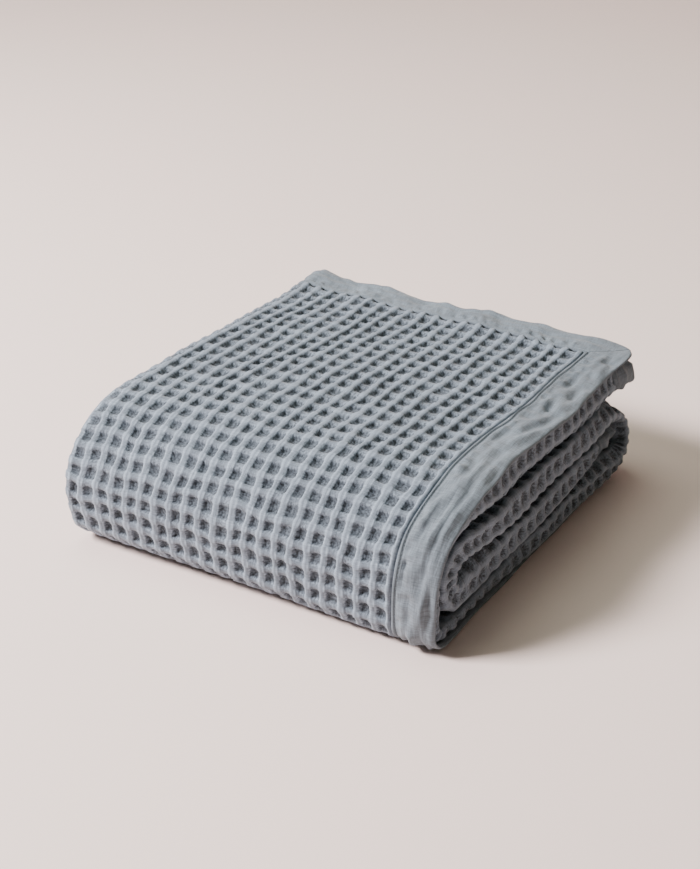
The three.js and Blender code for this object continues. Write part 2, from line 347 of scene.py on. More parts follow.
@dataclass
class Thirds:
    """The section of the three leaves at distances along the roll, with the width to each fold."""

    thick: np.ndarray
    edge: np.ndarray
    bulge: np.ndarray
    left: np.ndarray
    up: np.ndarray
    down: np.ndarray

    def __post_init__(self) -> None:
        """Works out the folds' centres and radii, and how far across the cloth each leaf ends."""
        half = CLOTH_THICKNESS / 2
        self.middle_depth = CLOTH_THICKNESS + LEAF_GAP + half
        self.left_radius = self.thick / 2 - half
        self.left_centre = self.left + self.left_radius + half
        highest, lowest = self.middle_depth - self.up, self.thick - half + self.down
        self.right_radius = (lowest - highest) / 2
        past_round = np.maximum(self.right_radius - ROUND_FOLD, 0.0)
        self.right_reach = self.right_radius - (1 - FOLD_ROUNDNESS) * past_round
        self.right_centre = self.bulge - self.right_reach - half
        self.right_depth = (lowest + highest) / 2
        self.tuck = self.left + CLOTH_THICKNESS + self.left_radius + half
        self.outer_to = self.edge - self.left_centre
        self.left_fold_to = self.outer_to + math.pi * self.left_radius
        self.inner_to = self.left_fold_to + self.right_centre - self.left_centre
        self.blunt = rise(self.right_radius, ROUND_FOLD, BLUNT_FOLD)
        bend = mix(math.pi, BLUNT_LENGTH, self.blunt)
        self.right_bend = bend * (self.right_radius + self.right_reach) / 2
        self.right_fold_to = self.inner_to + self.right_bend
        self.width = self.right_fold_to + self.right_centre - self.tuck
        self.left_turn = (self.outer_to + self.left_fold_to) / 2
        self.right_turn = (self.inner_to + self.right_fold_to) / 2

    def trace(self, w: np.ndarray) -> tuple[np.ndarray, np.ndarray, np.ndarray, np.ndarray]:
        """The cloth's middle line at distances across it.

        Args:
            w: Distances across the cloth from the bound edge, one for each section.

        Returns:
            x, the depth under the strip's outer line, and the face side's direction in x and depth.
        """
        left = np.clip((w - self.outer_to) / self.left_radius, 0.0, math.pi)
        share = np.clip((w - self.inner_to) / self.right_bend, 0.0, 1.0)
        right = mix(math.pi * share, np.interp(share, BLUNT_SHARES, BLUNT_ANGLES), self.blunt)
        across, deep = np.sin(right).clip(0.0), np.cos(right)
        power, side = 2 / mix(2.0, BLUNTNESS, self.blunt), np.sign(deep)
        in_left = (w > self.outer_to) & (w <= self.left_fold_to)
        in_inner = (w > self.left_fold_to) & (w <= self.inner_to)
        in_right = (w > self.inner_to) & (w <= self.right_fold_to)
        in_middle = w > self.right_fold_to
        choose = [in_left, in_inner, in_right, in_middle]
        inner_x = self.left_centre + (w - self.left_fold_to)
        dip = self.down * rise(inner_x - self.right_centre, -PUFF_REACH, 0.0)
        middle_x = self.right_centre - (w - self.right_fold_to)
        sunk = rise(self.right_centre - middle_x, 0.0, MIDDLE_SINK)
        lift = self.up * rise(middle_x - self.right_centre, -LIFT_REACH, 0.0)
        x = np.select(
            choose,
            [
                self.left_centre - self.left_radius * np.sin(left),
                inner_x,
                self.right_centre + self.right_reach * across**power,
                middle_x,
            ],
            self.edge - w,
        )
        depth = np.select(
            choose,
            [
                self.thick / 2 - self.left_radius * np.cos(left),
                self.thick - CLOTH_THICKNESS / 2 + dip,
                self.right_depth + self.right_radius * side * np.abs(deep) ** power,
                mix(self.middle_depth, self.thick / 2, sunk) - lift,
            ],
            CLOTH_THICKNESS / 2,
        )
        level = np.ones_like(w)
        out_x = across ** (2 - power) / self.right_reach
        out_depth = side * np.abs(deep) ** (2 - power) / self.right_radius
        size = np.hypot(out_x, out_depth)
        face_x = np.select(choose, [-np.sin(left), 0 * level, out_x / size, 0 * level], 0 * level)
        face_depth = np.select(choose, [-np.cos(left), level, out_depth / size, -level], -level)
        return x, depth, face_x, face_depth


@dataclass(frozen=True)
class HemCrest:
    """A place where the top end's hem rises."""

    x: float
    lift: float
    width: float


@dataclass(frozen=True)
class Settle:
    """How the stack has settled: the nose leans out, the top is crowned and the hem is uneven.

    The lean grows towards the left and fades from `lean_from` to `lean_to` along y. The hem's crests
    and slant grow from `hem_from` to `hem_to` along y and from `hem_low` to `hem_high` in height. The
    right side wanders in and out, more the higher it is.
    """

    lean_base: float = 16.0
    lean_soft: float = 15.0
    lean_slope: float = 0.085
    lean_from: float = 50.0
    lean_to: float = 250.0
    crown_lift: float = 3.5
    crown_at: Pair = (-270.0, 190.0)
    crown_spread: float = 170.0
    hem_from: float = 352.0
    hem_to: float = 425.0
    hem_low: float = 104.0
    hem_high: float = 130.0
    hem_lift: float = 0.5
    hem_slant: float = 10.0
    crests: tuple[HemCrest, ...] = (
        HemCrest(-414, 5.5, 28),
        HemCrest(-328, 5, 24),
        HemCrest(-240, 4, 17),
        HemCrest(-180, 8, 26),
        HemCrest(-122, 6.5, 30),
        HemCrest(-58, 5, 28),
    )
    wander_size: float = 2.2
    wander_length: float = 31.0
    wander_height: float = 23.0
    wander_from: float = -150.0
    wander_to: float = -20.0

    def move(self, points: np.ndarray) -> np.ndarray:
        """Moves points of the ideal fold to where the settled stack has them.

        Args:
            points: Points of the fold, in millimetres, as rows of (x, y, z).

        Returns:
            The moved points.
        """
        x, y, z = points[:, 0], points[:, 1], points[:, 2]
        height = z / STACK_HEIGHT
        leftward = np.clip(-x / STACK_WIDTH, 0.0, 1.0)
        lean = self.lean_base * (1 - np.exp(-z / self.lean_soft)) + self.lean_slope * z
        front = 1 - rise(y, self.lean_from, self.lean_to)
        off_crown = np.hypot(x - self.crown_at[0], y - self.crown_at[1]) / self.crown_spread
        crown = self.crown_lift * np.exp(-off_crown * off_crown)
        hem = np.full_like(x, self.hem_lift)
        for crest in self.crests:
            hem += crest.lift * np.exp(-(((x - crest.x) / crest.width) ** 2))
        near_hem = rise(y, self.hem_from, self.hem_to) * rise(z, self.hem_low, self.hem_high)
        wander = self.wander_size * np.sin(y / self.wander_length + z / self.wander_height)
        return np.stack(
            [
                x + wander * height * rise(x, self.wander_from, self.wander_to),
                y - leftward * lean * front - self.hem_slant * (1 - leftward) * near_hem,
                z + crown * height * height + hem * near_hem,
            ],
            axis=1,
        )


@dataclass
class FoldedCloth:
    """Carries the flat cloth to its place in the folded stack."""

    roll: Roll = field(default_factory=Roll)
    settle: Settle = field(default_factory=Settle)

    def __post_init__(self) -> None:
        """Spreads the layer rows along the roll."""
        places = np.array([self.roll.distance(row.at) for row in LAYER_ROWS])
        self.columns = {
            name: LayerColumn(places, np.array([float(getattr(row, name)) for row in LAYER_ROWS]))
            for name in ("thick", "edge", "bulge", "left", "up", "down")
        }

    def thirds(self, s: np.ndarray) -> Thirds:
        """The section of the three leaves at distances along the roll."""
        return Thirds(**{name: column.value(s) for name, column in self.columns.items()})

    def place(self, s: np.ndarray, w: np.ndarray, offset: np.ndarray) -> np.ndarray:
        """Points of the cloth in the row frame.

        Args:
            s: Distances along the roll, in millimetres.
            w: Distances across the cloth from the bound edge.
            offset: Heights above the cloth's middle, towards its face side.

        Returns:
            The points in metres, as rows of (x, y, z).
        """
        x, depth, face_x, face_depth = self.thirds(s).trace(w)
        line, outward = self.roll.spot(s)
        under = (depth + face_depth * offset)[:, None]
        flat = line - outward * under
        points = self.settle.move(np.column_stack([x + face_x * offset, flat]))
        points[:, 2] = np.maximum(points[:, 2], 0.0)
        return (points + np.array(ROW_FRAME_SHIFT)) * MM


@dataclass
class SoftNoise:
    """Smooth seeded noise over the flat cloth: a sum of waves in random directions.

    `stretch` draws the waves out along the cloth, and `variety` is how much their lengths differ.
    """

    seed: int
    wavelength: float
    stretch: float = 1.0
    waves: int = 9
    variety: Pair = (0.7, 1.5)

    def __post_init__(self) -> None:
        """Draws the waves."""
        rng = np.random.default_rng(self.seed)
        angle = rng.uniform(0.0, 2 * math.pi, self.waves)
        pace = 2 * math.pi / (self.wavelength * rng.uniform(*self.variety, self.waves))
        self.pace_s = pace * np.cos(angle) / self.stretch
        self.pace_w = pace * np.sin(angle)
        self.phase = rng.uniform(0.0, 2 * math.pi, self.waves)

    def value(self, s: np.ndarray, w: np.ndarray) -> np.ndarray:
        """Noise of about unit size at places on the flat cloth.

        Args:
            s: Distances along the cloth, in millimetres.
            w: Distances across it.

        Returns:
            The noise at each place.
        """
        total = np.zeros_like(s)
        for pace_s, pace_w, phase in zip(self.pace_s, self.pace_w, self.phase):
            total += np.sin(pace_s * s + pace_w * w + phase)
        return total / math.sqrt(self.waves / 2)


@dataclass
class SheetMesh:
    """Gathers the points and faces of one piece."""

    points: list[np.ndarray] = field(default_factory=list)
    flat: list[np.ndarray] = field(default_factory=list)
    high: list[np.ndarray] = field(default_factory=list)
    rims: list[np.ndarray] = field(default_factory=list)
    faces: list[tuple[int, ...]] = field(default_factory=list)
    count: int = 0

    def add(
        self,
        points: np.ndarray,
        flat: np.ndarray,
        high: np.ndarray | None = None,
        rim: np.ndarray | None = None,
    ) -> np.ndarray:
        """Adds points.

        Args:
            points: Places in the row frame, in metres.
            flat: The same points on the flat cloth, in millimetres, as rows of (w, s).
            high: How near each point is to the top of the ribs, from 0 to 1, which also sets the
                painted shade in the pits.
            rim: How near each point is to the side of a rib, from 0 to 1, which sets its painted
                highlight.

        Returns:
            The new points' numbers.
        """
        self.points.append(points)
        self.flat.append(flat)
        self.high.append(np.ones(len(points)) if high is None else high)
        self.rims.append(np.zeros(len(points)) if rim is None else rim)
        numbers = np.arange(self.count, self.count + len(points))
        self.count += len(points)
        return numbers

    def add_strip(self, first: np.ndarray, second: np.ndarray) -> None:
        """Joins two lines of as many points each with four-sided faces."""
        quads = np.stack([first[:-1], first[1:], second[1:], second[:-1]], axis=1)
        self.faces.extend(map(tuple, quads.tolist()))

    def add_zip(
        self,
        first: np.ndarray,
        first_at: np.ndarray,
        second: np.ndarray,
        second_at: np.ndarray,
    ) -> None:
        """Joins two lines that run side by side but have different numbers of points.

        Args:
            first: The first line's points.
            first_at: How far along each of them is.
            second: The second line's points.
            second_at: How far along each of them is, on the same measure.
        """
        i = j = 0
        while i < len(first) - 1 or j < len(second) - 1:
            ends = j == len(second) - 1
            if ends or (i < len(first) - 1 and first_at[i + 1] <= second_at[j + 1]):
                self.faces.append((int(first[i]), int(first[i + 1]), int(second[j])))
                i += 1
            else:
                self.faces.append((int(first[i]), int(second[j + 1]), int(second[j])))
                j += 1

    def build(self, name: str) -> bpy.types.Object:
        """Makes the piece, and keeps its flat place and the weave's measures on the mesh.

        Args:
            name: The piece's name.

        Returns:
            The new object, smooth shaded and linked to the scene.
        """
        mesh = bpy.data.meshes.new(name)
        mesh.from_pydata(np.concatenate(self.points).tolist(), [], self.faces)
        corner = np.zeros(len(mesh.loops), np.int32)
        mesh.loops.foreach_get("vertex_index", corner)
        flat = np.concatenate(self.flat)[corner] * MM
        mesh.uv_layers.new(name=FLAT_MAP).uv.foreach_set("vector", flat.astype(np.float32).ravel())
        for measure, values in ((RIB_HEIGHT, self.high), (RIM_HIGHLIGHT_MASK, self.rims)):
            kept = mesh.attributes.new(measure, "FLOAT", "POINT")
            kept.data.foreach_set("value", np.concatenate(values).astype(np.float32))
        mesh.polygons.foreach_set("use_smooth", np.ones(len(mesh.polygons), bool))
        mesh.validate()
        mesh.update()
        piece = bpy.data.objects.new(name, mesh)
        bpy.context.scene.collection.objects.link(piece)
        return piece


Socket = bpy.types.NodeSocket

# The mixing node has sockets of every type: these are its two inputs and its output for vectors.
MIX_FIRST, MIX_SECOND, MIX_RESULT = 4, 5, 1


@dataclass(frozen=True)
class NodeBench:
    """Adds nodes to one material and joins them up."""

    tree: bpy.types.NodeTree

    def fill(self, node: bpy.types.Node, inputs: dict[str | int, object]) -> bpy.types.Node:
        """Gives a node its inputs.

        Args:
            node: The node.
            inputs: For each input a socket to join to it, or a value for it to hold.

        Returns:
            The same node.
        """
        for name, value in inputs.items():
            if isinstance(value, Socket):
                self.tree.links.new(value, node.inputs[name])
            else:
                node.inputs[name].default_value = value
        return node

    def add(self, kind: str, inputs: dict[str | int, object], **settings: str) -> bpy.types.Node:
        """Adds one node.

        Args:
            kind: The node's kind.
            inputs: Its inputs, as sockets or values.
            settings: Its own settings.

        Returns:
            The new node.
        """
        node = self.tree.nodes.new(f"ShaderNode{kind}")
        for name, value in settings.items():
            setattr(node, name, value)
        return self.fill(node, inputs)

    def flat(self) -> Socket:
        """The place on the flat cloth, in metres across and along it."""
        return self.add("UVMap", {}, uv_map=FLAT_MAP).outputs["UV"]

    def spaced(self, scale: Pair) -> Socket:
        """The place on the flat cloth, at so many spots to the metre across and along it."""
        return self.add("Mapping", {"Vector": self.flat(), "Scale": (*scale, 1.0)}).outputs["Vector"]

    def measure(self, name: str) -> Socket:
        """A measure that the mesh keeps at each of its points."""
        return self.add("Attribute", {}, attribute_name=name).outputs["Fac"]

    def noise(self, scale: Pair, detail: float) -> Socket:
        """Noise on the flat cloth, at so many spots to the metre, with so many finer octaves."""
        inputs = {"Vector": self.spaced(scale), "Scale": 1.0, "Detail": detail}
        return self.add("TexNoise", inputs, noise_dimensions="2D").outputs["Fac"]

    def span(self, value: Socket, ends: Pair, results: Pair = (0.0, 1.0)) -> Socket:
        """Spreads one range of a value over another, and holds it at both ends.

        Args:
            value: The value.
            ends: Where its range starts and ends.
            results: What it gives there.

        Returns:
            The result.
        """
        names = ("From Min", "From Max", "To Min", "To Max")
        inputs = {"Value": value, **dict(zip(names, ends + results))}
        return self.add("MapRange", inputs).outputs["Result"]

    def join(self, operation: str, first: Socket, second: Socket) -> Socket:
        """Works out one value from two."""
        return self.add("Math", {0: first, 1: second}, operation=operation).outputs["Value"]

    def shade(
        self, colour: Socket, factor: Socket, shares: Pair, ends: Pair = (0.0, 1.0)
    ) -> Socket:
        """Multiplies a colour by a share that changes as a factor goes from end to end."""
        inputs = {0: colour, "Scale": self.span(factor, ends, shares)}
        return self.add("VectorMath", inputs, operation="SCALE").outputs["Vector"]

    def blend(self, first: Socket, second: Socket, share: Socket) -> Socket:
        """Goes from one colour to another as a share goes from 0 to 1."""
        inputs = {"Factor": share, MIX_FIRST: first, MIX_SECOND: second}
        return self.add("Mix", inputs, data_type="VECTOR").outputs[MIX_RESULT]

    def bump(self, height: Socket, depth: float, under: Socket | None = None) -> Socket:
        """Bumps the surface.

        Args:
            height: The bump's height, from 0 to 1.
            depth: How much that is, in millimetres.
            under: Another bump that this one lies on.

        Returns:
            The surface's normal.
        """
        inputs = {"Strength": 1.0, "Distance": depth * MM, "Height": height}
        if under is not None:
            inputs["Normal"] = under
        return self.add("Bump", inputs).outputs["Normal"]


def plain_material(name: str) -> tuple[bpy.types.Material, NodeBench, bpy.types.Node]:
    """Starts a material.

    Args:
        name: Its name.

    Returns:
        The material, a bench for its nodes, and the node of its surface.
    """
    material = bpy.data.materials.new(name)
    material.use_nodes = True
    bench = NodeBench(material.node_tree)
    return material, bench, bench.tree.nodes["Principled BSDF"]


@dataclass(frozen=True)
class LinenFinish:
    """Washed plain linen: its colour, how it varies, and how deep its threads are.

    Scales are spots to the metre across and along the cloth, pitches and depths are millimetres,
    and `mottle` and `streak` are the shares by which the colour varies.
    """

    name: str
    colour: Triple
    mottle: float = 0.07
    mottle_scale: Pair = (22.0, 22.0)
    streak: float = 0.10
    streak_scale: Pair = (900.0, 70.0)
    thread_pitch: float = 1.1
    thread_depth: float = 0.12
    thread_bands: float = 0.314
    thread_waver: float = 1.2
    waver_scale: float = 0.4
    slub_depth: float = 0.35
    slub_scale: Pair = (420.0, 300.0)
    roughness: float = 0.92
    specular: float = 0.18
    sheen: float = 0.18
    sheen_roughness: float = 0.5

    def make(self) -> bpy.types.Material:
        """Builds the material's nodes.

        Returns:
            The new material.
        """
        material, bench, surface = plain_material(self.name)
        inputs = {
            "Roughness": self.roughness,
            "Specular IOR Level": self.specular,
            "Sheen Weight": self.sheen,
            "Sheen Roughness": self.sheen_roughness,
            "Base Color": self._tint(bench),
            "Normal": self._relief(bench),
        }
        bench.fill(surface, inputs)
        return material

    def _tint(self, bench: NodeBench) -> Socket:
        """The cloth's colour, mottled, and streaked along both ways of the threads.

        Args:
            bench: Where the nodes are added.

        Returns:
            The colour.
        """
        colour = bench.add("CombineXYZ", dict(zip("XYZ", self.colour))).outputs["Vector"]
        for scale, detail, share in (
            (self.mottle_scale, 3.0, self.mottle),
            (self.streak_scale, 2.0, self.streak),
            (self.streak_scale[::-1], 2.0, self.streak),
        ):
            spots = bench.noise(scale, detail)
            colour = bench.shade(colour, spots, (1 - share, 1 + share), NOISE_RANGE)
        return colour

    def _slubs(self, bench: NodeBench) -> Socket:
        """The height of the slubs in the yarn."""
        return bench.noise(self.slub_scale, detail=4.0)

    def _relief(self, bench: NodeBench) -> Socket:
        """Bump from the slubs in the yarn and, on that, from the woven threads.

        Args:
            bench: Where the nodes are added.

        Returns:
            The surface's normal.
        """
        pace = 1.0 / (self.thread_pitch * MM)
        inputs = {
            "Vector": bench.spaced((pace, pace)),
            "Scale": self.thread_bands,
            "Distortion": self.thread_waver,
            "Detail": 1.0,
            "Detail Scale": self.waver_scale,
        }
        threads = [bench.add("TexWave", inputs, bands_direction=way).outputs["Fac"] for way in "XY"]
        slubbed = bench.bump(self._slubs(bench), self.slub_depth)
        return bench.bump(bench.join("MAXIMUM", *threads), self.thread_depth, slubbed)


@dataclass(frozen=True)
class WaffleFinish(LinenFinish):
    """Linen in a waffle weave, with painted shade in its pits, fuzz on their walls and painted
    highlights on its ribs.

    Heights run from 0 in a pit to 1 on a rib, and each pair of them is where a change starts and
    ends. Shares are shares of the cloth's colour at the two ends of that change: the wall and floor
    shares are painted shade in the pits, the crest shares a painted highlight along the ribs' crests,
    and on the front the rim shares are a painted highlight at the sides of the ribs and the top shade
    shares painted shade on their tops. `front` is where the cloth goes round the front of the stack:
    across (X) and along (Y) the flat cloth, a place outside it and the nearest one inside, in metres.
    """

    # Painted shade on the walls and floors of the pits.
    wall_heights: Pair = (0.45, 0.76)
    wall_shade_shares: Pair = (0.62, 1.0)
    floor_heights: Pair = (0.0, 0.45)
    floor_shade_shares: Pair = (0.55, 1.0)
    # A painted highlight along the ribs' crests, with everything lower painted a little darker.
    crest_heights: Pair = (0.88, 1.0)
    crest_highlight_shares: Pair = (0.90, 1.05)
    front: tuple[tuple[str, float, float], ...] = (
        ("Y", 0.30, 0.42),
        ("Y", 0.68, 0.60),
        ("X", 0.60, 0.55),
    )
    # A painted highlight at the sides of the ribs, on the front only.
    rim_highlight_shares: Pair = (1.0, 1.85)
    # Painted shade on the tops of the ribs on the front, so that their sides read as lit.
    top_shade_heights: Pair = (0.72, 0.90)
    top_shade_shares: Pair = (1.0, 0.74)
    fuzz_scale: Pair = (470.0, 430.0)
    fuzz_shares: Pair = (0.28, 1.5)
    fuzz_heights: Pair = (0.66, 0.97)
    slub_heights: Pair = (0.0, 0.76)
    slub_shares: Pair = (1.7, 0.7)

    def _tint(self, bench: NodeBench) -> Socket:
        """The cloth's colour, with painted shade in the weave's pits and painted highlights on its
        ribs.

        Args:
            bench: Where the nodes are added.

        Returns:
            The colour.
        """
        colour = super()._tint(bench)
        height = bench.measure(RIB_HEIGHT)
        # Painted shade on the walls and floors of the pits, then a painted highlight along the ribs'
        # crests.
        for heights, shares in (
            (self.wall_heights, self.wall_shade_shares),
            (self.floor_heights, self.floor_shade_shares),
            (self.crest_heights, self.crest_highlight_shares),
        ):
            colour = bench.shade(colour, bench.span(height, heights), shares)
        # On the front only: a painted highlight at the sides of the ribs, and painted shade on their
        # tops.
        front = self._front(bench)
        rim = bench.join("MULTIPLY", bench.measure(RIM_HIGHLIGHT_MASK), front)
        colour = bench.shade(colour, rim, self.rim_highlight_shares)
        middle = bench.join("MULTIPLY", bench.span(height, self.top_shade_heights), front)
        colour = bench.shade(colour, middle, self.top_shade_shares)
        spots = bench.noise(self.fuzz_scale, detail=3.0)
        fuzzy = bench.shade(colour, spots, self.fuzz_shares, NOISE_RANGE)
        return bench.blend(fuzzy, colour, bench.span(height, self.fuzz_heights))

    def _front(self, bench: NodeBench) -> Socket:
        """Whether a point is on the outer leaf's rounded front.

        Args:
            bench: Where the nodes are added.

        Returns:
            The share, 1 on the front and 0 elsewhere.
        """
        ways = bench.add("SeparateXYZ", {"Vector": bench.flat()}).outputs
        first, *others = [bench.span(ways[axis], (out, inside)) for axis, out, inside in self.front]
        for other in others:
            first = bench.join("MULTIPLY", first, other)
        return first

    def _slubs(self, bench: NodeBench) -> Socket:
        """The height of the slubs in the yarn, which is less on the ribs than in the pits.

        Args:
            bench: Where the nodes are added.

        Returns:
            The height.
        """
        level = bench.span(bench.measure(RIB_HEIGHT), self.slub_heights)
        share = bench.span(level, (0.0, 1.0), self.slub_shares)
        return bench.join("MULTIPLY", super()._slubs(bench), share)


@dataclass(frozen=True)
class PaperFinish:
    """The pale matt paper of the floor and backdrop, a little uneven in its colour."""

    name: str = "studio_paper"
    colour: Triple = (0.89, 0.742, 0.698)
    roughness: float = 0.95
    specular: float = 0.1
    patches: float = 2.0
    patch_shares: Pair = (0.985, 1.015)

    def make(self) -> bpy.types.Material:
        """Builds the material's nodes.

        Returns:
            The new material.
        """
        material, bench, surface = plain_material(self.name)
        place = bench.add("TexCoord", {}).outputs["Object"]
        noise = bench.add("TexNoise", {"Vector": place, "Scale": self.patches}).outputs["Fac"]
        ramp = bench.add("ValToRGB", {"Fac": noise})
        for stop, share in zip(ramp.color_ramp.elements, self.patch_shares):
            stop.color = (*(share * value for value in self.colour), 1.0)
        inputs = {
            "Roughness": self.roughness,
            "Specular IOR Level": self.specular,
            "Base Color": ramp.outputs["Color"],
        }
        bench.fill(surface, inputs)
        return material


WAFFLE_LINEN = WaffleFinish(
    "waffle_linen_washed",
    (0.200, 0.242, 0.298),
    streak=0.16,
    thread_depth=0.10,
    slub_depth=0.7,
)
BINDING_LINEN = LinenFinish(
    "binding_linen_washed",
    (0.150, 0.180, 0.212),
    mottle=0.13,
    streak=0.18,
    slub_depth=0.50,
)
STITCH_THREAD = LinenFinish(
    "stitch_thread",
    (0.15, 0.18, 0.21),
    mottle=0.03,
    thread_pitch=0.5,
    slub_depth=0.1,
)


class Fineness(Enum):
    """Where the lines of a cell stand, as shares of its pitch from one rib to the next."""

    FINE = (0.0, 0.165, 0.215, 0.30, 0.70, 0.785, 0.835)
    MEDIUM = (0.0, 0.165, 0.285, 0.5, 0.715, 0.835)
    COARSE = (0.0, 0.25, 0.5, 0.75)
    SPARSE = (0.0, 0.5)
    PLAIN = (0.0,)


class Block(Enum):
    """The parts of the cloth's width, from the bound edge to the hidden one."""

    OUTER = 0
    HIDDEN_INNER = 1
    RIGHT_FOLD = 2
    HIDDEN_MIDDLE = 3


# More than the last place in any block, so that the blocks stay in order.
BLOCK_STEP = 100.0


@dataclass(frozen=True)
class ColumnSet:
    """Lines of the mesh that run along the roll: each has a block and a place in it."""

    blocks: np.ndarray
    places: np.ndarray

    @property
    def order(self) -> np.ndarray:
        """A measure that grows across the cloth, so that two sets can be matched."""
        return self.blocks * BLOCK_STEP + self.places

    def __len__(self) -> int:
        """How many lines there are."""
        return len(self.blocks)


@dataclass
class WaffleWeave:
    """The relief of the weave: round ribs along the roll, lower ribs across it, and deep pits.

    `from_rib` are places from the middle of a rib to the middle of a pit, as shares of the pitch.
    The heights, and the shares of the painted highlight at the sides of the ribs, are those at each
    of them. `corner` is the power by which the two kinds of rib join, and `cells` is after how many
    cells the cells' own draws come again.
    """

    column_pitch: float = 18.0
    row_pitch: float = 19.3
    depth: float = 6.3
    from_rib: tuple[float, ...] = (0.0, 0.165, 0.215, 0.30, 0.5)
    rib_heights: tuple[float, ...] = (1.0, 0.79, 0.47, 0.08, 0.0)
    cross_heights: tuple[float, ...] = (0.80, 0.66, 0.40, 0.08, 0.0)
    # Where the painted highlight at the sides of the ribs goes, at each place from the rib.
    rim_highlight_shares: tuple[float, ...] = (0.0, 1.0, 0.3, 0.0, 0.0)
    corner: float = 1.6
    rib_sag: float = 0.06
    cross_spread: float = 0.16
    pit_spread: float = 0.14
    cells: int = 200

    def __post_init__(self) -> None:
        """Draws each cell's own pit depth and cross rib."""
        rng = np.random.default_rng(SEED)
        self.pits = 1.0 - self.pit_spread * rng.random((self.cells, self.cells))
        self.crossings = 1.0 + self.cross_spread * rng.uniform(-1, 1, (self.cells, self.cells))

    def height(self, u: np.ndarray, v: np.ndarray, gain: np.ndarray) -> np.ndarray:
        """How high the weave stands, from 0 in a pit to 1 on a rib.

        Args:
            u: Cells across the cloth, with ribs at whole numbers.
            v: Cells along the cloth, with cross ribs at whole numbers.
            gain: How much the cross ribs are raised or lowered, 1 for as they are.

        Returns:
            The heights.
        """
        from_rib, from_cross = np.abs(u - np.round(u)), np.abs(v - np.round(v))
        cell_u = np.floor(u).astype(int) % self.cells
        cell_v = np.floor(v).astype(int) % self.cells
        cross_v = np.round(v).astype(int) % self.cells
        sag = self.rib_sag * (1 - np.cos(2 * math.pi * v)) / 2
        rib = np.interp(from_rib, self.from_rib, self.rib_heights) * (1 - sag)
        cross = np.interp(from_cross, self.from_rib, self.cross_heights)
        cross = cross * self.crossings[cell_u, cross_v] * gain
        joined = (rib**self.corner + cross**self.corner) ** (1 / self.corner)
        return 1 - (1 - np.minimum(joined, 1.0)) * self.pits[cell_u, cell_v]

    def rim(self, u: np.ndarray) -> np.ndarray:
        """How near a line is to the side of a rib, where `u` counts cells across the cloth."""
        # The share of the painted highlight at the side of a rib.
        return np.interp(np.abs(u - np.round(u)), self.from_rib, self.rim_highlight_shares)


@dataclass(frozen=True)
class Pinch:
    """A sharp crease in the right fold: where it starts and stops, and how deep and wide it is.

    `start` and `stop` count runs and turns as the layer rows do, and `first` and `last` are the
    crease's distances from the middle of the fold at each of them. `fade` is the share of its
    length over which each end fades out.
    """

    start: float
    stop: float
    first: float
    last: float
    depth: float
    width: float
    fade: float = 0.3

    def sink(self, s: np.ndarray, from_turn: np.ndarray, roll: Roll) -> np.ndarray:
        """How far the crease draws the cloth in.

        Args:
            s: Distances along the roll.
            from_turn: Distances across the cloth from the middle of the fold.
            roll: The roll, which gives the crease its place.

        Returns:
            The depths, in millimetres.
        """
        start, stop = roll.distance(self.start), roll.distance(self.stop)
        share = (s - start) / (stop - start)
        line = mix(self.first, self.last, np.clip(share, 0.0, 1.0))
        shown = rise(share, 0.0, self.fade) * (1 - rise(share, 1 - self.fade, 1.0))
        return self.depth * shown * np.exp(-(((from_turn - line) / self.width) ** 2))


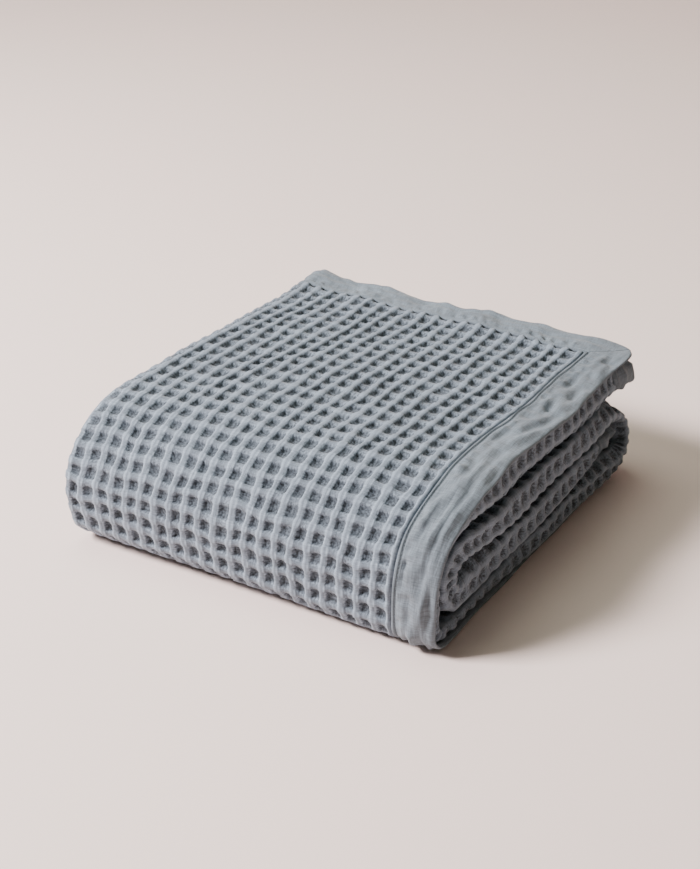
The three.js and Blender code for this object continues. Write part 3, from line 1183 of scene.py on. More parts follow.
@dataclass
class WafflePanel:
    """The one waffle-woven cloth, inside its bindings, as a closed sheet with its real relief.

    Cells are counted from the first rib to the left fold and past it, and both ways from the right
    fold. Pairs with a place along the roll count runs and turns as the layer rows do: `fold_drift`
    is how many cells the right fold's ribs are off its middle, `fold_relief` is the share of the
    relief on it, and `cross_gain` raises or lowers the outer leaf's cross ribs. `front_to`,
    `under_to` and `back_to` are where those parts of the roll end. The relief fades out past the
    left fold and at both ends of the right one, and on the layers inside it starts at `inside_fold`
    cells before the left fold. `right_cells` gives the right fold other cells than the outer leaf.
    The margins are the least gap between an edge of the cloth and a line of the mesh, in cells and
    in millimetres. Wobbles, knots and swells have a size and a length in millimetres.
    """

    cloth: FoldedCloth
    weave: WaffleWeave = field(default_factory=WaffleWeave)
    node: str = "waffle_panel"
    flat_size: Pair = (1.150, 1.745)
    first_rib: float = 2.0
    first_cross: float = 7.0
    ribs_to_left: float = 21.5
    past_left: float = 1.7
    right_from: float = -2.2
    right_to: float = 3.2
    fold_drift: tuple[Pair, ...] = (
        (0.0, -0.15),
        (2.0, -0.3),
        (4.4, -0.5),
        (4.75, -0.4),
        (5.2, -0.05),
        (6.7, -0.05),
        (7.3, -0.3),
        (8.5, -0.35),
        (10.2, -0.5),
    )
    fold_relief: tuple[Pair, ...] = ((1.2, 0.9), (1.8, 0.62), (4.1, 0.5), (4.5, 0.9))
    cross_gain: tuple[Pair, ...] = ((0.7, 0.82), (1.6, 1.12), (4.0, 1.16), (5.0, 1.0))
    front_to: float = 3.9
    under_to: float = 4.93
    back_to: float = 6.97
    left_fade_from: float = 1.2
    right_fade: float = 0.4
    right_cells: float = 50.0
    inside_fold: Pair = (2.5, 1.6)
    column_margin: float = 0.03
    row_margin: float = 0.8
    hidden_steps: int = 4
    row_wobble: float = 1.1
    row_wobble_length: float = 62.0
    column_wobble: float = 0.8
    column_wobble_length: float = 75.0
    column_wobble_stretch: float = 1.4
    knot_play: float = 0.55
    knot_length: float = 34.0
    swell: float = 0.5
    swell_length: float = 150.0
    roughness: float = 0.4
    seam_calm: float = 12.0
    seam_dip: float = 2.6
    seam_fade: float = 1.8
    back_play: float = 0.6
    pinches: tuple[Pinch, ...] = (
        Pinch(4.64, 5.05, -9.0, 3.0, 3.0, 3.2),
        Pinch(8.55, 8.95, 3.0, -5.0, 2.2, 3.5),
        Pinch(7.75, 8.2, 6.0, 1.0, 1.5, 3.5),
    )

    def __post_init__(self) -> None:
        """Sets up the cloth's unevenness and where the parts of the roll end."""
        self.inset = BINDING_WIDTH + PIECE_GAP
        self.wobble_s = SoftNoise(WOBBLE_SEEDS[0], self.row_wobble_length)
        self.wobble_w = SoftNoise(
            WOBBLE_SEEDS[1], self.column_wobble_length, self.column_wobble_stretch
        )
        self.knots_s, self.knots_w = (SoftNoise(seed, self.knot_length) for seed in KNOT_SEEDS)
        self.swells = SoftNoise(SWELL_SEED, self.swell_length)
        self.front_end, self.under_end, self.back_end = (
            self.cloth.roll.distance(at) for at in (self.front_to, self.under_to, self.back_to)
        )

    def columns(self, outer: Fineness, left: Fineness, right: Fineness) -> ColumnSet:
        """The lines along the roll, with their own fineness on the outer leaf and on each fold.

        Args:
            outer: Fineness on the outer leaf.
            left: Fineness round the left fold.
            right: Fineness round the right fold.

        Returns:
            The column set.
        """
        start = -self.first_rib / self.weave.column_pitch
        stop = self.ribs_to_left + self.past_left
        fold = math.floor(self.ribs_to_left - self.past_left)
        outer_lines = [k + f for k in range(-1, fold) for f in outer.value]
        left_lines = [k + f for k in range(fold, math.ceil(stop) + 1) for f in left.value]
        low, high = start + self.column_margin, stop - self.column_margin
        outer_block = [start, *(u for u in outer_lines + left_lines if low < u < high), stop]
        span = range(math.floor(self.right_from), math.ceil(self.right_to) + 1)
        lines = [k + f for k in span for f in right.value]
        right_block = [t for t in lines if self.right_from <= t <= self.right_to]
        hidden = [(i + 1) / (self.hidden_steps + 1) for i in range(self.hidden_steps)]
        last = [(i + 1) / self.hidden_steps for i in range(self.hidden_steps)]
        blocks = [(Block.OUTER, outer_block), (Block.HIDDEN_INNER, hidden)]
        blocks += [(Block.RIGHT_FOLD, right_block), (Block.HIDDEN_MIDDLE, last)]
        return ColumnSet(
            np.concatenate([np.full(len(places), block.value) for block, places in blocks]),
            np.concatenate([np.array(places) for _, places in blocks]),
        )

    def rows(self) -> list[tuple[float, ColumnSet]]:
        """Sets out the lines across the cloth, finer where they show more.

        Returns:
            Each line's distance along the roll, and its columns.
        """
        front = self.columns(Fineness.FINE, Fineness.FINE, Fineness.MEDIUM)
        under = self.columns(Fineness.SPARSE, Fineness.MEDIUM, Fineness.MEDIUM)
        back = self.columns(Fineness.MEDIUM, Fineness.MEDIUM, Fineness.MEDIUM)
        inside = self.columns(Fineness.PLAIN, Fineness.MEDIUM, Fineness.MEDIUM)
        regions = (
            (self.front_end, Fineness.FINE, front),
            (self.under_end, Fineness.MEDIUM, under),
            (self.back_end, Fineness.MEDIUM, back),
            (math.inf, Fineness.MEDIUM, inside),
        )
        stop = self.cloth.roll.length - self.inset
        rows = [(self.inset, front)]
        for k in range(-1, math.ceil(self.cloth.roll.length / self.weave.row_pitch)):
            at = self.inset + self.first_cross + k * self.weave.row_pitch
            _, fineness, columns = next(region for region in regions if at < region[0])
            for share in fineness.value:
                s = at + share * self.weave.row_pitch
                if self.inset + self.row_margin < s < stop - self.row_margin:
                    rows.append((s, columns))
        rows.append((stop, inside))
        return rows

    def across(self, s: np.ndarray, columns: ColumnSet, index: np.ndarray) -> np.ndarray:
        """Distances across the cloth of mesh lines.

        Args:
            s: Distances along the roll, one for each point.
            columns: The column set.
            index: Each point's number in the set.

        Returns:
            Distances from the bound edge, in millimetres.
        """
        thirds = self.cloth.thirds(s)
        block, place = columns.blocks[index], columns.places[index]
        pitch = self.weave.column_pitch
        first = self.inset + self.first_rib
        own_pitch = (thirds.left_turn - first) / self.ribs_to_left
        outer = np.where(
            place <= self.ribs_to_left,
            first + place * own_pitch,
            thirds.left_turn + (place - self.ribs_to_left) * pitch,
        )
        outer_to = thirds.left_turn + self.past_left * pitch
        turn = thirds.right_turn + pitch * self.cloth.roll.spread(s, self.fold_drift)
        right = turn + place * pitch
        right_from = turn + self.right_from * pitch
        right_to = turn + self.right_to * pitch
        inner = mix(outer_to, right_from, place)
        middle = mix(right_to, thirds.width - self.inset, place)
        return np.select([block == b.value for b in Block], [outer, inner, right, middle])

    def relief(
        self, s: np.ndarray, columns: ColumnSet, index: np.ndarray
    ) -> tuple[np.ndarray, np.ndarray, np.ndarray]:
        """The weave's height, how much of it shows, and where the sides of the ribs are.

        Args:
            s: Distances along the roll, one for each point.
            columns: The column set.
            index: Each point's number in the set.

        Returns:
            The height from 0 to 1, the share of the full depth, which is 0 on hidden leaves, and the
            share of the painted highlight at the sides of the ribs, 1 on those of the outer leaf.
        """
        block, place = columns.blocks[index], columns.places[index]
        outer, right = block == Block.OUTER.value, block == Block.RIGHT_FOLD.value
        roll, left = self.cloth.roll, self.ribs_to_left
        v = (s - self.inset - self.first_cross) / self.weave.row_pitch
        u = np.where(right, place + self.right_cells, place)
        shown = (outer | right).astype(float)
        fade = 1 - rise(place, left + self.left_fade_from, left + self.past_left)
        shown = np.where(outer & (place > left), shown * fade, shown)
        fade = rise(place, self.right_from, self.right_from + self.right_fade)
        fade = fade * (1 - rise(place, self.right_to - self.right_fade, self.right_to))
        fade = fade * roll.spread(s, self.fold_relief)
        shown = np.where(right, shown * fade, shown)
        inside = outer & (s > self.back_end + self.weave.row_pitch)
        fold = rise(place, left - self.inside_fold[0], left - self.inside_fold[1])
        gain = np.where(right, 1.0, roll.spread(s, self.cross_gain))
        # Where the painted highlight at the sides of the ribs goes, on the outer leaf only.
        rim = np.where(outer, self.weave.rim(u), 0.0)
        return self.weave.height(u, v, gain), np.where(inside, shown * fold, shown), rim

    def build(self) -> bpy.types.Object:
        """Makes the panel: its face with the weave, its plain back and the rim between them.

        Returns:
            The new piece.
        """
        mesh = SheetMesh()
        rows = self.rows()
        lines = self._add_face(mesh, rows)
        self._add_back(mesh, rows, lines)
        return mesh.build("waffle_cloth")

    def _add_face(self, mesh: SheetMesh, rows: list[tuple[float, ColumnSet]]) -> list[np.ndarray]:
        """Adds the face of the cloth with its relief.

        Args:
            mesh: The mesh, still empty.
            rows: The face's rows.

        Returns:
            The face's points, row by row.
        """
        at = np.concatenate([np.full(len(columns), s) for s, columns in rows])
        index = np.concatenate([np.arange(len(columns)) for _, columns in rows])
        owner = np.concatenate([np.full(len(columns), id(columns)) for _, columns in rows])
        w, high, shown, rim = (np.zeros_like(at) for _ in range(4))
        for key, columns in {id(columns): columns for _, columns in rows}.items():
            mine = owner == key
            w[mine] = self.across(at[mine], columns, index[mine])
            high[mine], shown[mine], rim[mine] = self.relief(at[mine], columns, index[mine])
        points = self._face_points(at, w, high, shown)
        numbers = mesh.add(points, np.column_stack([w, at]), mix(1.0, high, shown), rim)
        lines = np.split(numbers, np.cumsum([len(columns) for _, columns in rows])[:-1])
        for (_, here), (_, ahead), first, second in zip(rows, rows[1:], lines, lines[1:]):
            if here is ahead:
                mesh.add_strip(first, second)
            else:
                mesh.add_zip(first, here.order, second, ahead.order)
        return lines

    def _face_points(
        self, at: np.ndarray, w: np.ndarray, high: np.ndarray, shown: np.ndarray
    ) -> np.ndarray:
        """Points of the face, with its unevenness, its pinches and its dip along the seam.

        Args:
            at: Distances along the roll.
            w: Distances across the cloth.
            high: The weave's height.
            shown: The share of its depth that shows.

        Returns:
            The points in metres.
        """
        calm = self.inset + self.seam_calm
        inner = rise(at, self.inset, calm) * rise(w, self.inset, calm)
        wander_s = self.row_wobble * self.wobble_s.value(at, w)
        wander_s += self.knot_play * self.knots_s.value(at, w)
        wander_w = self.column_wobble * self.wobble_w.value(at, w)
        wander_w += self.knot_play * self.knots_w.value(at, w)
        swell = self.swell * self.swells.value(at, w) * inner
        offset = CLOTH_THICKNESS / 2 + swell - self.weave.depth * (1 - high) * shown
        from_turn = w - self.cloth.thirds(at).right_turn
        for pinch in self.pinches:
            offset -= pinch.sink(at, from_turn, self.cloth.roll)
        offset -= self.seam_dip * (1 - rise(w, self.inset, self.inset + self.seam_fade))
        rough = np.random.default_rng(ROUGH_SEED).normal(0.0, self.roughness, len(at))
        offset += np.minimum(np.abs(rough), 2 * self.roughness) * (1 - high) * shown
        return self.cloth.place(at + wander_s * inner, w + wander_w * inner, offset)

    def _add_back(
        self, mesh: SheetMesh, rows: list[tuple[float, ColumnSet]], lines: list[np.ndarray]
    ) -> None:
        """Adds the plain back of the cloth and closes the rim.

        Args:
            mesh: The mesh, which already holds the face.
            rows: The face's rows.
            lines: The face's points, row by row.
        """
        plain = self.columns(Fineness.PLAIN, Fineness.COARSE, Fineness.COARSE)
        half = self.weave.row_pitch / 2
        places = np.arange(self.inset, rows[-1][0] - half / 2, half)
        places = np.append(places, rows[-1][0])
        at = np.repeat(places, len(plain))
        index = np.tile(np.arange(len(plain)), len(places))
        w = self.across(at, plain, index)
        offset = np.full_like(w, -CLOTH_THICKNESS / 2 - self.back_play)
        points = self.cloth.place(at, w, offset)
        numbers = mesh.add(points, np.column_stack([w, at])).reshape(len(places), len(plain))
        for first, second in zip(numbers, numbers[1:]):
            mesh.add_strip(second, first)
        along = np.array([s for s, _ in rows])
        mesh.add_zip(numbers[0], plain.order, lines[0], rows[0][1].order)
        mesh.add_zip(lines[-1], rows[-1][1].order, numbers[-1], plain.order)
        mesh.add_zip(np.array([line[0] for line in lines]), along, numbers[:, 0], places)
        mesh.add_zip(numbers[:, -1], places, np.array([line[-1] for line in lines]), along)

    def dress(self, piece: bpy.types.Object, finish: bpy.types.Material) -> None:
        """Gives the panel its finish and its place in the frame.

        Args:
            piece: The panel's piece.
            finish: Its finish.
        """
        piece.data.materials.append(finish)
        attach(piece, BODY)
        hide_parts(self.node)


class Edge(Enum):
    """The four edges of the cloth, each with its CAD node and its piece's name."""

    SIDE_OUTER = ("side_binding_outer", "side_hem_outer")
    SIDE_INNER = ("side_binding_inner", "side_hem_inner")
    END_OUTER = ("end_binding_outer", "end_hem_outer")
    END_INNER = ("end_binding_inner", "end_hem_inner")

    @property
    def is_side(self) -> bool:
        """Whether the edge runs along the roll."""
        return self in (Edge.SIDE_OUTER, Edge.SIDE_INNER)

    @property
    def is_first(self) -> bool:
        """Whether distances from the edge are measured from the cloth's own zero."""
        return self in (Edge.SIDE_OUTER, Edge.END_OUTER)


@dataclass(frozen=True)
class Crease:
    """A soft ridge along a binding: where it runs, how high it is and how wide.

    It sways from side to side, and fades out at both ends.
    """

    start: float
    stop: float
    across: float
    drift: float
    height: float
    width: float
    sway: float = 1.2
    sway_length: float = 23.0
    fade: float = 40.0

    def lift(self, along: np.ndarray, across: np.ndarray) -> np.ndarray:
        """How much the crease lifts the binding.

        Args:
            along: Distances along the binding.
            across: Distances from its outer edge.

        Returns:
            The lift in millimetres.
        """
        share = np.clip((along - self.start) / (self.stop - self.start), 0.0, 1.0)
        sway = self.sway * np.sin(along / self.sway_length + self.across)
        line = self.across + self.drift * share + sway
        shown = rise(along, self.start, self.start + self.fade)
        shown = shown * (1 - rise(along, self.stop - self.fade, self.stop))
        return self.height * shown * np.exp(-(((across - line) / self.width) ** 2))


@dataclass(frozen=True)
class Dent:
    """A pucker in a binding: its place, its size each way and its depth.

    `lip` is how much the cloth round it stands up.
    """

    along: float
    across: float
    long: float
    wide: float
    depth: float
    lip: float = 0.6

    def lift(self, along: np.ndarray, across: np.ndarray) -> np.ndarray:
        """How much the dent lifts the binding, which is less than nothing in its middle."""
        off = ((along - self.along) / self.long) ** 2 + ((across - self.across) / self.wide) ** 2
        return -self.depth * (1 - self.lip * off) * np.exp(-off)


@dataclass(frozen=True)
class Droop:
    """How a binding's free edge hangs: its fall across the strip, and its share along the strip."""

    across: tuple[Pair, ...] = ((0.0, 0.0),)
    along: tuple[Pair, ...] = ((0.0, 0.0),)

    def fall(self, along: np.ndarray, across: np.ndarray) -> np.ndarray:
        """How far the binding hangs down at places along and across it, in millimetres."""
        return np.interp(along, *zip(*self.along)) * np.interp(across, *zip(*self.across))


# A binding's section: across it from its outer edge, and above its middle. The face has a rolled
# edge, a flat stretch, the groove of the seam and a lip, and the back runs the other way.
HEM_EDGE = ((0.0, 0.0), (0.35, 1.0), (1.3, 1.8), (3.0, 2.05), (5.5, 1.95))
HEM_FLAT = tuple((8.0 + 2.5 * step, 1.9) for step in range(13))
HEM_GROOVE = ((40.2, 1.85), (41.3, 1.5), (41.9, 0.3), (42.5, 1.3))
HEM_LIP = ((43.3, 2.2), (44.3, 2.5), (45.2, 2.0), (46.0, 0.2))
HEM_FACE = HEM_EDGE + HEM_FLAT + HEM_GROOVE + HEM_LIP
HEM_BACK = (
    (46.0, -1.8),
    (38.0, -2.0),
    (29.0, -2.0),
    (20.0, -2.0),
    (11.0, -2.0),
    (4.0, -1.9),
    (0.9, -1.3),
)
STITCH_LINE = 41.9

# Stitches start this far along a binding, and those of the end go as far as its left fold.
STITCHES_FROM = BINDING_WIDTH + 2
END_STITCHES_TO = 425.0

# Where the side binding has gone round the front, and then the back, in runs and turns.
SIDE_FRONT_TO = 4.0
SIDE_BACK_TO = 7.0

# Along the end binding: where its left fold ends, and where its right fold starts and ends.
END_LEFT_TO = 480.0
END_RIGHT = (780.0, 860.0)

# The least distance that is divided by.
TINY = 1e-6


@dataclass
class Binding:
    """A plain linen strip folded over one edge of the cloth, mitred at its corners.

    Sizes are millimetres, and pairs are where a change starts and ends across the strip. The kinds
    of noise each have a step from the strip's own seed, a wavelength and a stretch. The steps are
    how finely the strip is divided where it shows, where it shows less and where it is hidden.
    """

    cloth: FoldedCloth
    edge: Edge
    creases: tuple[Crease, ...] = ()
    dents: tuple[Dent, ...] = ()
    droop: Droop = Droop()
    ripple: float = 1.15
    broad_share: float = 0.8
    sewn_down: Pair = (36.0, 42.0)
    gather: float = 1.2
    gather_from: Pair = (0.5, 4.0)
    gather_reach: float = 13.0
    pucker: float = 0.3
    seam_wave: float = 0.6
    seam_from: Pair = (33.0, 40.5)
    seam_to: Pair = (43.3, 45.5)
    edge_wave: float = 0.6
    edge_reach: float = 30.0
    side_edge_share: float = 0.35
    side_edge_reach: float = 9.0
    corner: float = 15.0
    mitre_calm: float = 28.0
    mitre_fade: float = 2.5 * BINDING_WIDTH
    side_steps: Pair = (2.6, 4.5)
    end_steps: Pair = (2.8, 3.0)
    hidden_step: float = 9.0
    fine_noise: tuple[int, float, float] = (0, 17.0, 3.6)
    broad_noise: tuple[int, float, float] = (40, 85.0, 1.5)
    gather_noise: tuple[int, float, float] = (80, 15.0, 0.8)
    pucker_noise: tuple[int, float, float] = (160, 10.0, 1.5)
    seam_noise: tuple[int, float, float] = (120, 38.0, 1.0)

    def __post_init__(self) -> None:
        """Sets up the strip's own unevenness."""
        seed = BINDING_SEED + list(Edge).index(self.edge)
        ripples = (self.fine_noise, self.broad_noise)
        sewing = (self.gather_noise, self.pucker_noise, self.seam_noise)
        self.fine, self.broad, self.gathers, self.puckers, self.seam = (
            SoftNoise(seed + step, wavelength, stretch)
            for step, wavelength, stretch in ripples + sewing
        )

    def length(self) -> float:
        """Measures the strip along its edge.

        Returns:
            Its length in millimetres.
        """
        if self.edge.is_side:
            return self.cloth.roll.length
        s = np.array([0.0 if self.edge.is_first else self.cloth.roll.length])
        return float(self.cloth.thirds(s).width[0])

    def stations(self) -> np.ndarray:
        """Divides the strip, more closely where it shows.

        Returns:
            Distances along the strip.
        """
        length = self.length()
        if self.edge is Edge.SIDE_OUTER:
            stops = [self.cloth.roll.distance(at) for at in (SIDE_FRONT_TO, SIDE_BACK_TO)]
            steps = self.side_steps
        elif self.edge is Edge.END_OUTER:
            stops = [END_LEFT_TO, *END_RIGHT]
            steps = (self.end_steps[0], self.hidden_step, self.end_steps[1])
        else:
            stops, steps = [], ()
        ends, steps = [0.0, *stops, length], (*steps, self.hidden_step)
        parts = [
            np.linspace(start, stop, round((stop - start) / step), endpoint=False)
            for start, stop, step in zip(ends, ends[1:], steps)
        ]
        return np.append(np.concatenate(parts), length)

    def place(self, along: np.ndarray, across: np.ndarray, offset: np.ndarray) -> np.ndarray:
        """Points of the strip in the row frame.

        Args:
            along: Distances along the strip.
            across: Distances from its outer edge.
            offset: Heights above the cloth's middle.

        Returns:
            The points in metres.
        """
        by_seam = rise(across, *self.seam_from) * (1 - rise(across, *self.seam_to))
        across = across + self.seam_wave * by_seam * self.seam.value(along, np.zeros_like(along))
        near = np.minimum(along, self.length() - along)
        reach_a, reach_b = self.corner - across, self.corner - near
        inside = (reach_a > 0) & (reach_b > 0)
        longest = np.maximum(reach_a, reach_b)
        pull = np.where(inside, longest / np.maximum(np.hypot(reach_a, reach_b), TINY), 1.0)
        across = np.where(inside, self.corner - reach_a * pull, across)
        rounded = np.where(inside, self.corner - reach_b * pull, near)
        along = np.where(along < self.length() / 2, rounded, self.length() - rounded)
        if self.edge.is_side:
            s, w = along, across
        else:
            s, w = across, along
        if self.edge is Edge.END_INNER:
            s = self.cloth.roll.length - s
        if self.edge is Edge.SIDE_INNER:
            w = self.cloth.thirds(s).width - w
        return self.cloth.place(s, w, offset)

    def lift(self, along: np.ndarray, across: np.ndarray) -> np.ndarray:
        """How far the strip buckles up or down.

        Args:
            along: Distances along the strip.
            across: Distances from its outer edge.

        Returns:
            The lift in millimetres.
        """
        total = self.ripple * self.fine.value(along, across)
        total += self.broad_share * self.ripple * self.broad.value(along, across)
        for mark in (*self.creases, *self.dents):
            total += mark.lift(along, across)
        total += self.pucker * self.puckers.value(along, across)
        free = 1 - rise(across, *self.sewn_down)
        if self.edge.is_side:
            from_edge = rise(across, 0.0, self.side_edge_reach)
            free = free * mix(self.side_edge_share, 1.0, from_edge)
        from_seam = STITCH_LINE - across
        drawn = rise(from_seam, *self.gather_from)
        drawn = drawn * np.exp(-((from_seam / self.gather_reach) ** 2))
        total = total * free + self.gather * drawn * self.gathers.value(along, across)
        total = total - self.droop.fall(along, across)
        from_mitre = np.minimum(along, self.length() - along) - across
        return total * rise(from_mitre, 0.0, self.mitre_calm)

    def build(self) -> bpy.types.Object:
        """Makes the strip: its closed section carried along the edge, with mitred ends.

        Returns:
            The new piece.
        """
        mesh = SheetMesh()
        section = np.array(HEM_FACE + HEM_BACK)
        stations = self.stations()
        length = self.length()
        along = np.repeat(stations, len(section))
        across = np.tile(section[:, 0], len(stations))
        offset = np.tile(section[:, 1], len(stations))
        mitre = across + PIECE_GAP
        along = along + mitre * np.clip(1 - along / self.mitre_fade, 0.0, 1.0)
        along = along - mitre * np.clip(1 - (length - along) / self.mitre_fade, 0.0, 1.0)
        offset = offset + self.lift(along, across)
        sway = self.edge_wave * self.broad.value(along, np.zeros_like(along))
        moved = across + sway * (1 - rise(across, 0.0, self.edge_reach))
        points = self.place(along, moved, offset)
        flat = np.column_stack([across, along] if self.edge.is_side else [along, across])
        numbers = mesh.add(points, flat).reshape(len(stations), len(section))
        rings = np.column_stack([numbers, numbers[:, 0]])
        for first, second in zip(rings, rings[1:]):
            if self._faces_out():
                mesh.add_strip(first, second)
            else:
                mesh.add_strip(second, first)
        self._cap(mesh, numbers[0], self._faces_out())
        self._cap(mesh, numbers[-1], not self._faces_out())
        return mesh.build(self.edge.value[1])

    def _faces_out(self) -> bool:
        """Whether the section runs the way round that turns its faces outward."""
        return self.edge in (Edge.SIDE_OUTER, Edge.END_INNER)

    def _cap(self, mesh: SheetMesh, ring: np.ndarray, flip: bool) -> None:
        """Closes one end of the strip between the face and the back of its section.

        Args:
            mesh: The strip's mesh.
            ring: The section's points at that end.
            flip: Whether the cap faces against the order of the section.
        """
        face, back = ring[: len(HEM_FACE)], np.append(ring[:1], ring[len(HEM_FACE) :][::-1])
        face_at = np.array([across for across, _ in HEM_FACE])
        back_at = np.append(0.0, [across for across, _ in HEM_BACK][::-1])
        if flip:
            mesh.add_zip(back, back_at, face, face_at)
        else:
            mesh.add_zip(face, face_at, back, back_at)

    def dress(self, piece: bpy.types.Object, finish: bpy.types.Material) -> None:
        """Gives the strip its finish and its place in the frame.

        Args:
            piece: The strip's piece.
            finish: Its finish.
        """
        piece.data.materials.append(finish)
        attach(piece, BODY)
        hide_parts(self.edge.value[0])


@dataclass
class Stitching:
    """A row of stitches in the groove of a binding.

    `shares` are places along a stitch from end to end, and `girths` its thickness at each. `play`
    and `sway` are how far a stitch may be off its place along the row and across it.
    """

    binding: Binding
    name: str
    start: float
    stop: float
    pitch: float = 4.4
    length: float = 3.3
    radius: float = 0.42
    base: float = 1.05
    arch: float = 0.45
    sides: int = 6
    play: float = 0.25
    sway: float = 0.12
    shares: tuple[float, ...] = (-1.0, -0.8, -0.35, 0.0, 0.35, 0.8, 1.0)
    girths: tuple[float, ...] = (0.25, 0.8, 1.0, 1.0, 1.0, 0.8, 0.25)

    def build(self) -> bpy.types.Object:
        """Makes the stitches, each a short arched thread that dips into the cloth at its ends.

        Returns:
            The new piece.
        """
        mesh = SheetMesh()
        shares, girth = np.array(self.shares), np.array(self.girths)
        turn = np.linspace(0.0, 2 * math.pi, self.sides, endpoint=False)
        rng = np.random.default_rng(STITCH_SEED)
        centres = np.arange(self.start, self.stop, self.pitch)
        centres = centres + rng.uniform(-self.play, self.play, len(centres))
        for centre, aside in zip(centres, rng.uniform(-self.sway, self.sway, len(centres))):
            along = np.repeat(centre + shares * self.length / 2, self.sides)
            across = STITCH_LINE + aside + np.outer(girth, np.cos(turn)).ravel() * self.radius
            rise_up = np.repeat(self.base + self.arch * (1 - shares**2), self.sides)
            offset = rise_up + np.outer(girth, np.sin(turn)).ravel() * self.radius
            points = self.binding.place(along, across, offset)
            numbers = mesh.add(points, np.column_stack([across, along]))
            rings = numbers.reshape(len(shares), self.sides)
            rings = np.column_stack([rings, rings[:, 0]])
            for first, second in zip(rings, rings[1:]):
                if self.binding.edge.is_side:
                    mesh.add_strip(second, first)
                else:
                    mesh.add_strip(first, second)
            for ring in (rings[0, :-1], rings[-1, :-1][::-1]):
                ring = ring if self.binding.edge.is_side else ring[::-1]
                mesh.faces.append(tuple(int(i) for i in ring))
        return mesh.build(self.name)

    def dress(self, piece: bpy.types.Object, finish: bpy.types.Material) -> None:
        """Gives the stitches their finish and their place in the frame.

        Args:
            piece: The stitches' piece.
            finish: Their finish.
        """
        piece.data.materials.append(finish)
        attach(piece, BODY)


@dataclass(frozen=True)
class SoftBox:
    """A large soft lamp."""

    name: str
    at: Triple
    size: Pair
    power: float
    colour: Triple
    aim: Triple = (0.0, 0.0, 0.08)

    def build(self) -> bpy.types.Object:
        """Makes the lamp, turned to what it lights.

        Returns:
            The lamp.
        """
        lamp = bpy.data.lights.new(self.name, "AREA")
        lamp.shape = "RECTANGLE"
        lamp.size, lamp.size_y = self.size
        lamp.energy = self.power
        lamp.color = self.colour
        holder = bpy.data.objects.new(self.name, lamp)
        holder.location = self.at
        back = Vector(self.at) - Vector(self.aim)
        holder.rotation_euler = back.to_track_quat("Z", "Y").to_euler()
        bpy.context.scene.collection.objects.link(holder)
        return holder


@dataclass(frozen=True)
class Studio:
    """The pale paper sweep, the soft light and the camera."""

    paper: PaperFinish = PaperFinish()
    front: float = -4.0
    bend_at: float = 2.6
    bend: float = 1.6
    top: float = 4.5
    bend_steps: int = 24
    half_width: float = 5.0
    lamps: tuple[SoftBox, ...] = (
        SoftBox("key_lamp", (-2.2, -1.9, 2.6), (1.1, 1.1), 438.0, (1.0, 0.94, 0.93)),
        SoftBox("high_lamp", (-1.0, 0.4, 3.0), (2.2, 2.2), 46.0, (0.95, 1.0, 0.84)),
    )
    ambient: Triple = (0.97, 1.0, 0.73)
    ambient_strength: float = 0.08
    azimuth: float = 32.4
    elevation: float = 27.4
    camera_at: Triple = (806.4, -1293.7, 873.0)
    lens: float = 66.57
    sensor: float = 36.0
    clip: Pair = (0.05, 50.0)

    def build_floor(self) -> bpy.types.Object:
        """Makes the paper sweep: a flat floor that bends up into a backdrop.

        Returns:
            The sweep.
        """
        line = [(self.front, 0.0)]
        for turn in np.radians(np.linspace(-90.0, 0.0, self.bend_steps)):
            out, up = self.bend * math.cos(turn), self.bend * math.sin(turn)
            line.append((self.bend_at + out, self.bend + up))
        line.append((self.bend_at + self.bend, self.top))
        points = [(x, y, z) for y, z in line for x in (-self.half_width, self.half_width)]
        faces = [(2 * i, 2 * i + 1, 2 * i + 3, 2 * i + 2) for i in range(len(line) - 1)]
        mesh = bpy.data.meshes.new("paper_sweep")
        mesh.from_pydata(points, [], faces)
        mesh.polygons.foreach_set("use_smooth", [True] * len(faces))
        mesh.materials.append(self.paper.make())
        floor = bpy.data.objects.new("paper_sweep", mesh)
        bpy.context.scene.collection.objects.link(floor)
        return floor

    def build_light(self) -> None:
        """Makes the lamps and the even light from all round."""
        for lamp in self.lamps:
            lamp.build()
        world = bpy.data.worlds.new("studio_air")
        world.use_nodes = True
        sky = world.node_tree.nodes["Background"]
        sky.inputs["Color"].default_value = (*self.ambient, 1.0)
        sky.inputs["Strength"].default_value = self.ambient_strength
        bpy.context.scene.world = world

    def build_camera(self) -> bpy.types.Object:
        """Makes the camera at the photograph's viewing angle.

        Returns:
            The camera.
        """
        lens = bpy.data.cameras.new("studio_camera")
        lens.lens = self.lens
        lens.sensor_width = self.sensor
        lens.clip_start, lens.clip_end = self.clip
        camera = bpy.data.objects.new("studio_camera", lens)
        turn, tilt = math.radians(self.azimuth), math.radians(self.elevation)
        back = (
            math.sin(turn) * math.cos(tilt),
            -math.cos(turn) * math.cos(tilt),
            math.sin(tilt),
        )
        camera.location = [value * MM for value in self.camera_at]
        camera.rotation_euler = Vector(back).to_track_quat("Z", "Y").to_euler()
        bpy.context.scene.collection.objects.link(camera)
        bpy.context.scene.camera = camera
        return camera


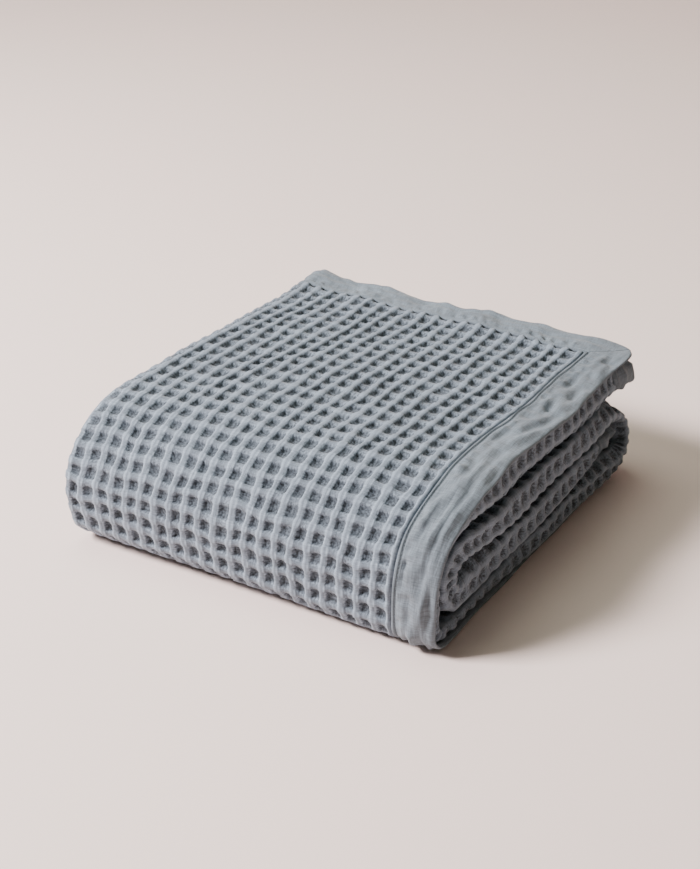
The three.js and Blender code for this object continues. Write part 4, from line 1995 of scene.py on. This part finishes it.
NOSE_CREASES = (
    Crease(330, 640, 34.0, -3.0, 1.8, 2.4),
    Crease(360, 640, 26.0, -2.0, 2.5, 2.2),
    Crease(300, 640, 18.5, 2.0, 2.6, 2.5),
    Crease(380, 640, 11.0, 1.0, 2.2, 2.2),
    Crease(250, 470, 7.0, 3.0, 1.8, 2.8),
)
TOP_DENTS = (
    Dent(196, 15, 10, 6, 2.4),
    Dent(182, 25, 16, 5, 1.8),
    Dent(214, 30, 12, 6, 2.6),
    Dent(238, 16, 16, 5, 2.4),
    Dent(262, 27, 12, 7, 2.7),
    Dent(292, 13, 20, 5, 2.2),
    Dent(120, 26, 16, 6, 2.0),
    Dent(98, 14, 12, 6, 2.4),
    Dent(70, 30, 12, 6, 2.0),
    Dent(52, 12, 9, 6, 2.0),
    Dent(150, 12, 18, 5, 1.8),
)
SIDE_DROOP = Droop(
    ((0, 4.0), (5, 2.4), (10, 1.1), (15, 0.4), (20, 0.0)),
    ((34, 0.0), (120, 1.0), (405, 1.0), (505, 0.4), (565, 0.3), (650, 0.0)),
)
END_DROOP = Droop(
    ((0, 4.0), (12, 2.2), (24, 0.9), (36, 0.0)),
    ((35, 0.0), (100, 1.0), (365, 1.0), (425, 0.0)),
)
END_DENTS = (
    Dent(96, 20, 10, 12, 1.7),
    Dent(160, 18, 12, 13, 1.7),
    Dent(214, 20, 9, 12, 2.0),
    Dent(268, 18, 13, 12, 1.5),
    Dent(352, 20, 11, 14, 1.5),
    Dent(300, 26, 8, 8, 1.2),
)


def report(piece: bpy.types.Object) -> None:
    """Logs a new piece and how many faces it has."""
    LOG.info("%s: %d faces", piece.name, len(piece.data.polygons))


def main() -> None:
    """Builds the blanket and the studio in order."""
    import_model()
    studio = Studio()
    studio.build_camera()
    cloth = FoldedCloth()
    waffle_finish, binding_finish = WAFFLE_LINEN.make(), BINDING_LINEN.make()
    stitch_finish = STITCH_THREAD.make()

    panel = WafflePanel(cloth)
    panel_piece = panel.build()
    panel.dress(panel_piece, waffle_finish)
    report(panel_piece)

    marks = {
        Edge.SIDE_OUTER: (NOSE_CREASES, TOP_DENTS, SIDE_DROOP),
        Edge.END_OUTER: ((), END_DENTS, END_DROOP),
    }
    for edge in Edge:
        binding = Binding(cloth, edge, *marks.get(edge, ()))
        piece = binding.build()
        binding.dress(piece, binding_finish)
        report(piece)
        if edge.is_first:
            stop = cloth.roll.distance(SIDE_BACK_TO) if edge.is_side else END_STITCHES_TO
            seam = Stitching(binding, f"{piece.name}_stitches", STITCHES_FROM, stop)
            stitches = seam.build()
            seam.dress(stitches, stitch_finish)
            report(stitches)

    studio.build_floor()
    studio.build_light()


if __name__ == "__main__":
    logging.basicConfig(level=logging.INFO, format="%(name)s: %(message)s")
    main()
